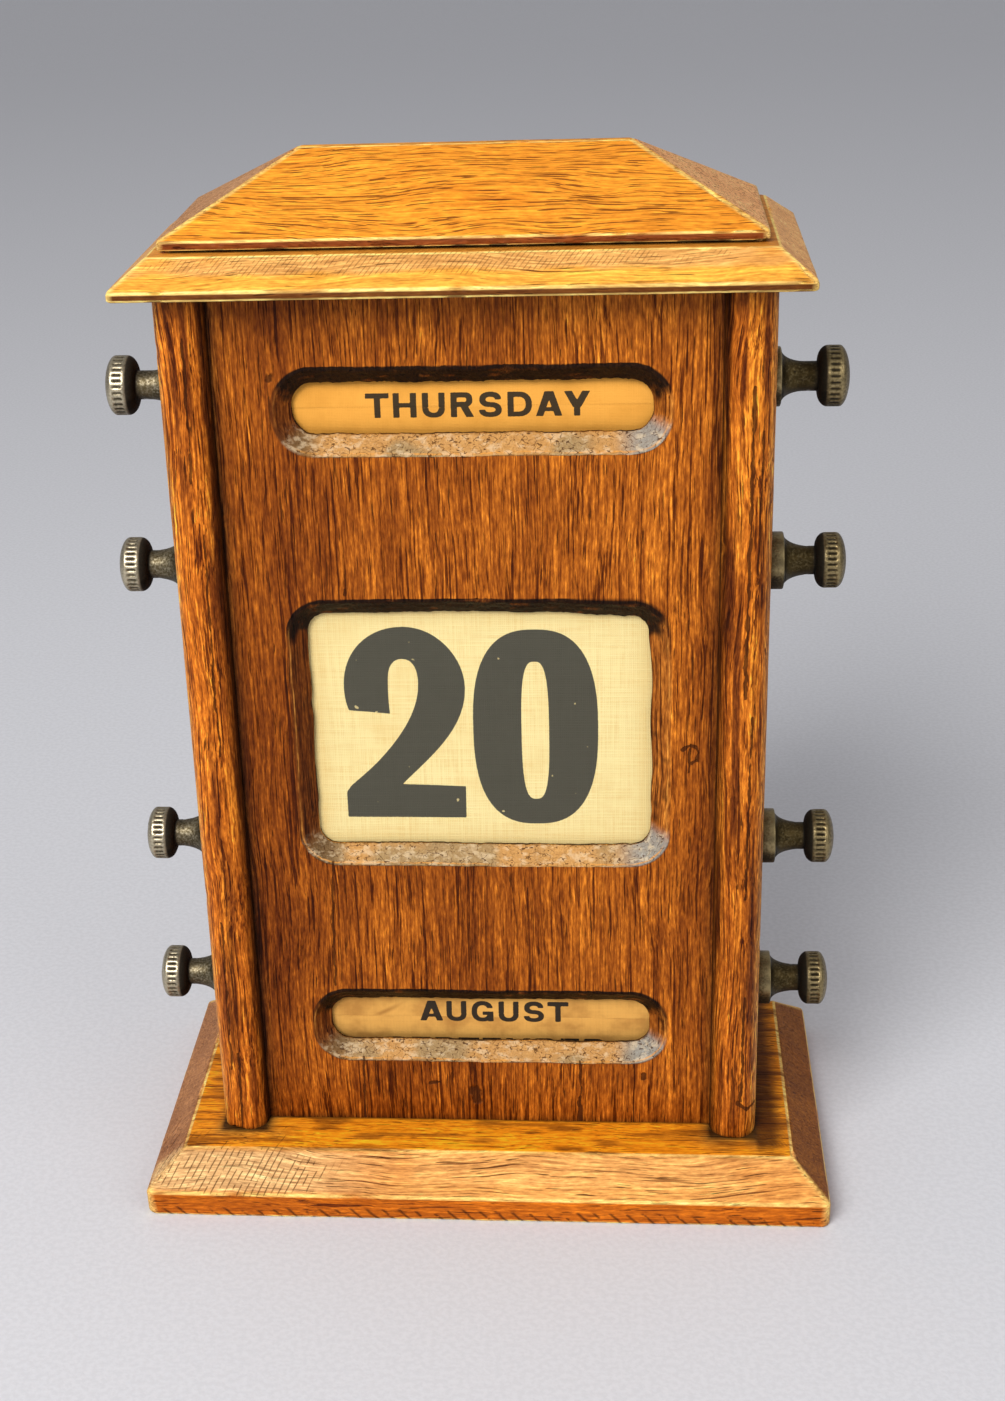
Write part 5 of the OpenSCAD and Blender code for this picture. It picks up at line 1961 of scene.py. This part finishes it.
@dataclass
class DateTape:
    """Free run of the date tape over its two guide rods, and its turns on both rollers.

    Attributes:
        thick: thickness of the cloth.
        layer: how much one turn adds to a roll's radius.
        roll_gap: how far the free run stays from the rolls.
        rod_gap: how far it stays from the rods.
        wrap: points on the wrap round each rod.
        fine: distance between points under the figures.
    """

    thick: float = 0.3
    layer: float = 0.2
    roll_gap: float = 0.3
    rod_gap: float = 0.05
    wrap: int = 14
    fine: float = 0.33
    finish: LinenFinish = LinenFinish(
        "tape_linen", (0.885, 0.75, 0.36), (0.76, 0.52, 0.19), (0.053, 0.05, 0.035), 0.36, 1.3, 0.35
    )
    figures: DateFigures = DateFigures()

    def centreline(self) -> tuple[Array, Array]:
        """The tape's path, from the upper roll down.

        It leaves the upper roll along the common tangent, wraps the upper rod, drops to the lower rod,
        wraps it and runs along the common tangent to the lower roll.

        Returns:
            Rows of Y, Z and the normal of the outer face, and how far along the tape each one is.
        """
        halves = []
        for row, sign in (("upper", 1), ("lower", -1)):
            rod, roll = node_box(f"{row}_tape_rod"), node_box(f"{row}_tape_roll")
            rod_r, roll_r = rod.size[1] / 2 + self.rod_gap, roll.size[1] / 2 + self.roll_gap
            way = (roll.centre - rod.centre)[1:]
            bend = math.asin((roll_r - rod_r) / float(np.linalg.norm(way)))
            slope = math.atan2(way[1], way[0]) + sign * (bend + math.pi / 2)
            angle = np.array([slope, *np.linspace(slope, sign * math.pi, self.wrap)])
            normal = np.stack([np.cos(angle), np.sin(angle)], axis=1)
            radius = np.array([roll_r] + [rod_r] * self.wrap)
            middle = np.array([roll.centre[1:]] + [rod.centre[1:]] * self.wrap)
            halves.append(np.concatenate([middle + radius[:, None] * normal, normal], axis=1)[::sign])
        rows = np.concatenate(halves)
        steps = np.linalg.norm(np.diff(rows[:, :2], axis=0), axis=1)
        return rows, np.concatenate([[0], np.cumsum(steps)])

    def surface(self) -> Surface:
        """Rows across the tape along its path, with the ink of the date on its outer face."""
        rows, along = self.centreline()
        top, foot = along[self.wrap : self.wrap + 2]
        s = graded(0.0, float(along[-1]), [(top + 2.2, foot - 2.2)], self.fine, 0.9)
        y, z, *normal = (np.interp(s, along, column) for column in rows.T)
        normal = np.array(normal) / np.hypot(*normal)
        box, middle = node_box("date_tape"), opening_centre("date_window")
        x = graded(box.low[0], box.high[0], [(-27.0, 25.0)], self.fine, 1.2)
        grid_x, grid_s = np.meshgrid(x, s)
        flat = np.stack([grid_x, grid_s, 0 * grid_x], -1).reshape(-1, 3)
        ripple = 0.05 * lattice_noise(flat, 11.0, 95) + 0.03 * lattice_noise(flat, 4.0, 96)
        out = self.thick - 0.08 + ripple.reshape(grid_x.shape)
        outer_y, outer_z = (at[:, None] + out * n[:, None] for at, n in ((y, normal[0]), (z, normal[1])))
        ends = np.repeat([[box.high[0], box.low[0]]], len(s), axis=0)
        inner = np.stack([ends, columns(y, 2), columns(z, 2)], -1)
        straight = (s > top) & (s < foot)
        ink = np.full(grid_x.shape, -1.0)
        ink[straight] = self.figures.ink(grid_x[straight], outer_z[straight])
        edge = np.minimum(grid_x - box.low[0], box.high[0] - grid_x)
        # Painted shadow: the tape darkens towards the window's rim, where the bevels shade it.
        rim = np.minimum(30.5 - np.abs(grid_x - middle[0]), 23 - np.abs(outer_z - middle[2]))
        grime = 0.4 * np.exp(-edge / 2.5) + 0.45 * np.exp(-np.maximum(rim, 0) / 1.8)
        return cloth_surface(np.stack([grid_x, outer_y, outer_z], -1), inner, s, ink, grime, close=False)

    def wound(self, roll: str, roller: str) -> tuple[Surface, float]:
        """Spiral of cloth from a roller's surface out to its roll's.

        The radius is r0 + layer u / 2 pi, and the length is that of the whole spiral.

        Args:
            roll: the CAD node of the wound cloth.
            roller: the CAD node of its roller.

        Returns:
            The surface and the length of the cloth.
        """
        box = node_box(roll)
        inner = node_box(roller).size[1] / 2
        turns = (box.size[1] / 2 - inner - 0.14) / self.layer
        u = np.linspace(0, 2 * math.pi * turns, math.ceil(60 * turns))
        r = inner + 0.01 + self.layer * u / (2 * math.pi)
        slack = 0.35 * lattice_noise(np.stack([u * 2.0, 0 * u, 0 * u], 1), 5.0, 97)
        half = box.size[0] / 2 - 0.35
        ends = box.centre[0] + slack[:, None] + np.array([-half, half])
        _, y0, z0 = box.centre
        outer, inner = (
            np.stack([ends, columns(y0 - a * np.cos(u), 2), columns(z0 + a * np.sin(u), 2)], -1)
            for a in (r + 0.12, r)
        )
        plain = np.zeros((len(u), 2))
        made = cloth_surface(outer, inner[:, ::-1], u * r, plain - 1, plain, close=False)
        made.values["grime"] += 0.1
        return made, float(np.hypot(np.diff(r * np.cos(u)), np.diff(r * np.sin(u))).sum())

    def build(self) -> None:
        """Makes the three parts of the tape."""
        material = self.finish.material()
        piece = make_piece("date_cloth", self.surface(), "date_tape", material)
        length = float(self.centreline()[1][-1])
        width = float(node_box("date_tape").size[0])
        for row in ("upper", "lower"):
            roll, roller = f"{row}_tape_roll", f"{row}_tape_roller"
            made, length = self.wound(roll, roller)
            piece = make_piece(f"{row}_wound_cloth", made, roll, material)


# ---- Knobs ----


def arc(start: float, stop: float, count: int) -> list[tuple[float, float]]:
    """Sine and cosine of evenly spaced angles, given in degrees."""
    return [(math.sin(a), math.cos(a)) for a in np.radians(np.linspace(start, stop, count))]


@dataclass
class Knob:
    """Turned brass knob: journal, flange, hollow sweep, neck and reeded head.

    Attributes:
        node: the CAD node that it stands for.
        joint: the joint whose axis it is on.
        side: which end of the spindle it is on.
        finish: its metal.
        seed: seed of its wear.
        flange_t: thickness of its flange's rim.
        sweep_l: length of its hollow sweep.
        reeding: depth of the notches round the rim.
    """

    node: str
    joint: str
    side: Side
    finish: Material
    seed: int
    flange_t: float = 3.4
    sweep_l: float = 5.2
    reeding: float = 0.34
    notches: int = 30
    flange_step: float = 0.4
    neck_d: float = 5.4
    head_w: float = 5.8
    rim_w: float = 2.0
    shoulder: float = 2.5
    journal_d: float = 5.1
    bore_r: float = 1.53
    bore_short: float = 0.37
    flange_d: float = 10.9
    end_float: float = 0.2
    pin_back: float = 1.6
    pin_r: float = 0.65
    pin_lean: float = 24.0

    @property
    def seat(self) -> float:
        """Distance of the flange's face from the middle of the calendar."""
        return float(node_box("right_side_board").high[0]) + self.end_float

    @property
    def reach(self) -> tuple[float, float]:
        """Inner and outer end of the knob, from the middle of the calendar."""
        box = node_box(self.node)
        return tuple(sorted(abs(float(end[0])) for end in (box.low, box.high)))

    @property
    def neck_l(self) -> float:
        """Length from the flange's face to the head."""
        return self.reach[1] - self.seat - self.head_w

    @property
    def dome_w(self) -> float:
        """Width of the head's shoulder, and of its face."""
        return (self.head_w - self.rim_w) / 2

    def head_r(self) -> float:
        """Radius of the head, read beyond the neck because some flanges are wider than their heads."""
        mesh = frame["nodes"][self.node].data
        co = np.zeros(len(mesh.vertices) * 3, np.float32)
        mesh.vertices.foreach_get("co", co)
        co = co.reshape(-1, 3) / MM
        _, y0, z0 = joint_place(self.joint)
        out = np.abs(co[:, 0]) > self.seat + self.neck_l
        return float(np.hypot(co[out, 1] - y0, co[out, 2] - z0).max())

    def profile(self) -> tuple[Array, Array]:
        """Half section as places along the axis and radii, from the bore's end to the head's middle.

        The sweep is a quarter of an ellipse that leaves the flange's step at a right angle and meets the
        neck in line. The head has a rounded shoulder, a straight rim and a face that is half an ellipse.

        Returns:
            The points and how worn each one is.
        """
        inner = self.reach[0] - self.seat
        neck_l, dome_w, t0, journal_r = self.neck_l, self.dome_w, self.flange_t, self.journal_d / 2
        r_head, r_neck, r_flange = self.head_r(), self.neck_d / 2, self.flange_d / 2
        r_step, bore_end = r_flange - self.flange_step, neck_l - self.bore_short
        rim, face = neck_l + dome_w, neck_l + dome_w + self.rim_w
        rows = [(bore_end, 0, 0), (bore_end, self.bore_r, 0), (inner, self.bore_r, 0), (inner, journal_r, 0)]
        rows += [(-0.02, journal_r, 0), (0, journal_r + 0.3, 0), (0, r_flange - 0.25, 0.1)]
        rows += [(0.25 + 0.25 * s, r_flange - 0.25 + 0.25 * c, 0.5) for s, c in arc(-90, 0, 5)]
        rows += [(t0 - 0.3 + 0.3 * s, r_flange - 0.3 + 0.3 * c, 1.0) for s, c in arc(0, 90, 6)]
        rows.append((t0, r_step + 0.03, 0.2))
        sweep = arc(0, 90, 18)[1:]
        rows += [(t0 + self.sweep_l * (1 - c), r_step - (r_step - r_neck) * s, 0.35) for s, c in sweep]
        rows += [(x, r_neck, 0.3) for x in np.linspace(t0 + self.sweep_l, neck_l, 7)[1:]]
        rows.append((neck_l, r_head - self.shoulder, 0.05))
        for s, c in arc(0, 90, 10)[1:]:
            rows.append((neck_l + dome_w * (1 - c), r_head - self.shoulder * (1 - s), 0.25 + 0.5 * s))
        rows += [(x, r_head, 0.8) for x in np.linspace(rim, face, 13)[1:]]
        rows += [(face + dome_w * s, r_head * c, 0.9 - 0.45 * s) for s, c in arc(0, 90, 22)[1:-1]]
        rows.append((neck_l + self.head_w, 0, 0.4))
        table = np.array(rows, float)
        return table[:, :2], table[:, 2]

    def notch(self, along: Array, radius: Array, angle: Array) -> Array:
        """Depth of the reeding: none outside the rim, deepest where |cos(n u / 2)| is zero."""
        low = self.neck_l + self.dome_w - 0.12
        high = low + self.rim_w + 0.24
        band = smoothstep(along, low, low + 0.5) * (1 - smoothstep(along, high - 0.7, high))
        band = band * (radius > self.neck_d / 2 + 1)
        ridge = np.abs(np.cos(self.notches * angle / 2 + 0.3 * self.seed))
        return -self.reeding * band * (1 - ridge) ** 1.3

    def surface(self) -> Surface:
        """The profile turned about X, dented a little, with wear, grime and painted shade at each point."""
        profile, wear = self.profile()
        segments = self.notches * 6
        made = turned(profile, segments, self.notch)
        x, y, z = made.points.T
        wear, full = (np.append(np.repeat(v[1:-1], segments), v[[0, -1]]) for v in (wear, profile[:, 1]))
        sunk = np.clip((full - np.hypot(y, z)) / self.reeding, 0, 1)
        # Painted shade: the back of the head and the neck just under it are darkened, as the head shades them.
        back = x - self.neck_l
        behind = smoothstep(back, -0.7, -0.1) * (1 - smoothstep(back, 1.2, 1.9))
        under = np.maximum(0.97 * behind, 0.6 * np.exp(-np.abs(back)) * (back < 0))
        # Painted shade: the lower side is darker and keeps less of its rubbed brightness.
        low = np.where(back < 0, 0.5 * smoothstep(-z, 0.0, 2.5), 0.3 * smoothstep(-z, 1.0, 5.0))
        # Darker at the flange's face and at the foot of its step.
        foot = np.exp(-np.maximum(x, 0) / 0.3) + 0.7 * np.exp(-np.abs(x - self.flange_t - 0.2) / 0.3)
        made.values["wear"] = wear * (1 - sunk) * (1 - low)
        made.values["grime"] = np.clip(0.95 * sunk + under + 0.7 * foot + low, 0, 1)
        dent = 0.05 * patches(made.points, 2.4, self.seed, 0.3, 0.9) * (x > 0)
        made.points = made.points - made.normals() * dent[:, None]
        return made

    def pin_hole(self) -> Surface:
        """Hole across the neck, leaning back by the pin's lean."""
        hole = drill("z", (0, 0, 0), -self.neck_d, self.neck_d, self.pin_r)
        lean = Matrix.Rotation(math.radians(-self.pin_lean), 3, "X")
        return Surface(hole.points @ np.array(lean).T, hole.faces).moved((self.neck_l - self.pin_back, 0, 0))

    def build(self) -> None:
        """Makes the knob at its place."""
        offset = (self.seat, *joint_place(self.joint)[1:])
        made, hole = (self.side.placed(part.moved(offset)) for part in (self.surface(), self.pin_hole()))
        make_piece(f"{self.node}_brass", made, self.node, self.finish, [hole])


@dataclass
class KnobSet:
    """The eight knobs; those on the left are brighter than those on the right.

    The top row has thinner flanges, shorter sweeps and worn reeding.
    """

    left: MetalFinish = MetalFinish(
        "knob_brass_left", (0.55, 0.48, 0.34), (0.13, 0.10, 0.05), (0.006, 0.005, 0.003)
    )
    right: MetalFinish = MetalFinish(
        "knob_brass_right", (0.36, 0.28, 0.14), (0.09, 0.063, 0.024), (0.005, 0.004, 0.002), -0.1
    )
    top_flange_t: float = 1.9
    top_sweep_l: float = 4.2
    top_reeding: dict[Side, float] = field(default_factory=lambda: {Side.LEFT: 0.26, Side.RIGHT: 0.16})

    def build(self) -> None:
        """Makes every knob."""
        finishes = {Side.LEFT: self.left.material(), Side.RIGHT: self.right.material()}
        for i, (row, joint) in enumerate(ROW_JOINTS.items()):
            for side in Side:
                node = f"{row}_{side.name.lower()}_knob"
                sizes = (self.top_flange_t, self.top_sweep_l, self.top_reeding[side]) if row == "day" else ()
                Knob(node, joint, side, finishes[side], 100 + 7 * i + side.value, *sizes).build()


# ---- Pieces that keep their CAD shape ----


@dataclass
class Fittings:
    """Gives the drums, rollers, rods, spindles, pins, screws, brads and washers their finishes."""

    softwood: WoodFinish = WoodFinish(
        "turned_softwood", Grain.ALONG_X, (8, 15, 4), 0.15, 0.2, tone=(0.62, 0.43, 0.22), roughness=(0.6, 0.8)
    )
    steel: MetalFinish = MetalFinish(
        "dull_steel", (0.5, 0.49, 0.47), (0.22, 0.2, 0.18), (0.07, 0.035, 0.02), 0.35
    )
    screw_brass: MetalFinish = MetalFinish(
        "screw_brass", (0.72, 0.55, 0.26), (0.3, 0.2, 0.08), (0.04, 0.025, 0.01), 0.3
    )
    leather: LeatherFinish = LeatherFinish("washer_leather", (0.4, 0.22, 0.1), (0.2, 0.1, 0.04))

    def build(self) -> None:
        """Puts one material on each node that keeps its shape; a field's name is the record's slot."""
        slots = ("softwood", "steel", "screw_brass", "leather")
        finishes = {slot: getattr(self, slot).material() for slot in slots}
        for node, thing in frame["nodes"].items():
            material = finishes.get(SLOT_OF[node])
            if material:
                thing.data.materials.clear()
                thing.data.materials.append(material)
                log.info("%s: %s", node, material.name)


# ---- Studio ----


@dataclass
class Studio:
    """Pale floor that rises far away, a soft key light, a fill, the sky and the camera.

    The camera's turns are in degrees and its places in millimetres; focal, shift and the picture's
    long side are in pixels of a picture 1005 by 1401.
    """

    floor_tone: Rgb = (0.71, 0.725, 0.775)
    flat_r: float = 1800.0
    floor_r: float = 7000.0
    key_place: Point = (-480.0, -1000.0, 980.0)
    key_size: float = 760.0
    key_power: float = 19.5
    key_tone: Rgb = (1.0, 0.98, 0.95)
    fill_place: Point = (900.0, -700.0, 700.0)
    fill_size: float = 900.0
    fill_power: float = 2.6
    fill_tone: Rgb = (1.0, 0.97, 0.93)
    aim_height: float = 100.0
    sky: float = 0.38
    sky_tone: Rgb = (1.0, 0.985, 0.99)
    camera_place: Point = (27.328, -377.423, 265.531)
    yaw: float = -5.376
    pitch: float = -23.926
    roll: float = -2.219
    focal: float = 2116.906
    shift: float = 62.5
    long_side: float = 1401.0
    sensor: float = 36.0

    def floor(self) -> None:
        """Disc of rings, flat to flat_r and then rising as 0.00011 (r - flat_r)^2."""
        rings = [np.linspace(40, self.flat_r, 10), np.linspace(self.flat_r, self.floor_r, 24)[1:]]
        radius = np.concatenate(rings)
        angle = np.linspace(0, 2 * math.pi, 96, endpoint=False)
        flat = radius[:, None, None] * np.stack([np.cos(angle), np.sin(angle)], axis=1)
        rows = stretched(flat, 0.00011 * np.maximum(radius - self.flat_r, 0) ** 2, 2)
        faces = [grid_quads(*rows.shape[:2])[:, ::-1], np.arange(len(angle))[None]]
        thing = bpy.data.objects.new("floor", make_mesh("floor", Surface(rows.reshape(-1, 3), faces)))
        bpy.context.scene.collection.objects.link(thing)
        material, g, shader = new_material("floor_paper")
        grain = g.noise(g.add("TexCoord", {}).outputs["Object"], 900.0)
        deep = tuple(0.94 * c for c in self.floor_tone)
        looks = {
            "Base Color": g.mix(g.step(grain, 0.35, 0.65), self.floor_tone, deep),
            "Roughness": g.line(grain, 0.3, 0.7, 0.85, 0.95),
            "Normal": g.bumped(grain, 0.0001, 0.4),
        }
        g.feed(shader, looks)
        thing.data.materials.append(material)

    def lamp(self, name: str, place: Point, size: float, power: float, tone: Rgb) -> None:
        """Square area lamp that faces the middle of the calendar."""
        data = bpy.data.lights.new(name, "AREA")
        data.size, data.energy, data.color = size * MM, power, tone
        lamp = bpy.data.objects.new(name, data)
        lamp.location = Vector(place) * MM
        aim = Vector((0, 0, self.aim_height * MM)) - lamp.location
        lamp.rotation_euler = aim.to_track_quat("-Z", "Y").to_euler()
        bpy.context.scene.collection.objects.link(lamp)

    def world(self) -> None:
        """Even pale sky."""
        world = bpy.data.worlds.new("sky")
        world.use_nodes = True
        background = world.node_tree.nodes["Background"]
        background.inputs["Color"].default_value = rgba(self.sky_tone)
        background.inputs["Strength"].default_value = self.sky
        bpy.context.scene.world = world

    def camera(self) -> None:
        """Camera from its turns: forward from yaw and pitch, then the roll about it."""
        yaw, pitch, roll = (math.radians(a) for a in (self.yaw, self.pitch, self.roll))
        forward = Vector((math.sin(yaw) * math.cos(pitch), math.cos(yaw) * math.cos(pitch), math.sin(pitch)))
        right = Vector((math.cos(yaw), -math.sin(yaw), 0))
        up = right.cross(forward)
        right_r = right * math.cos(roll) + up * math.sin(roll)
        up_r = up * math.cos(roll) - right * math.sin(roll)
        turn = Matrix((right_r, up_r, -forward)).transposed().to_4x4()
        data = bpy.data.cameras.new("camera")
        data.sensor_width = self.sensor
        data.lens = self.focal * self.sensor / self.long_side
        data.shift_x = self.shift / self.long_side
        data.clip_start, data.clip_end = 0.01, 50
        camera = bpy.data.objects.new("camera", data)
        camera.matrix_world = Matrix.Translation(Vector(self.camera_place) * MM) @ turn
        bpy.context.scene.collection.objects.link(camera)
        bpy.context.scene.camera = camera

    def build(self) -> None:
        """Sets the stage."""
        self.floor()
        self.lamp("key", self.key_place, self.key_size, self.key_power, self.key_tone)
        self.lamp("fill", self.fill_place, self.fill_size, self.fill_power, self.fill_tone)
        self.world()
        self.camera()
        bpy.context.scene.view_settings.view_transform = "Standard"


def bands() -> tuple[NameBand, NameBand]:
    """The weekday band and the month band."""
    tones = ((0.83, 0.385, 0.063), (0.60, 0.25, 0.03), (0.04, 0.025, 0.01))
    linen = LinenFinish("day_linen", *tones, 0.3, 0.35, 0.4)
    day = NameBand("day_band", "day_turn", WEEKDAYS, (0.88, 0.1), 24.0, 0.19, linen, "day_drum")
    tones = ((0.74, 0.39, 0.093), (0.40, 0.18, 0.04), (0.025, 0.017, 0.01))
    linen = LinenFinish("month_linen", *tones, 0.3, 0.4, 0.8)
    place = (MONTHS, (0.75, 1.18), 23.0, 0.21)
    return day, NameBand("month_band", "month_turn", *place, linen, "month_drum", stained=0.9)


def main() -> None:
    """Builds the studio and every sub-assembly, in order."""
    logging.basicConfig(level=logging.INFO, format="%(name)s: %(message)s")
    for assembly in (Studio(), Plinth(), Roof(), Case(), *bands(), DateTape(), KnobSet(), Fittings()):
        assembly.build()


if __name__ == "__main__":
    main()
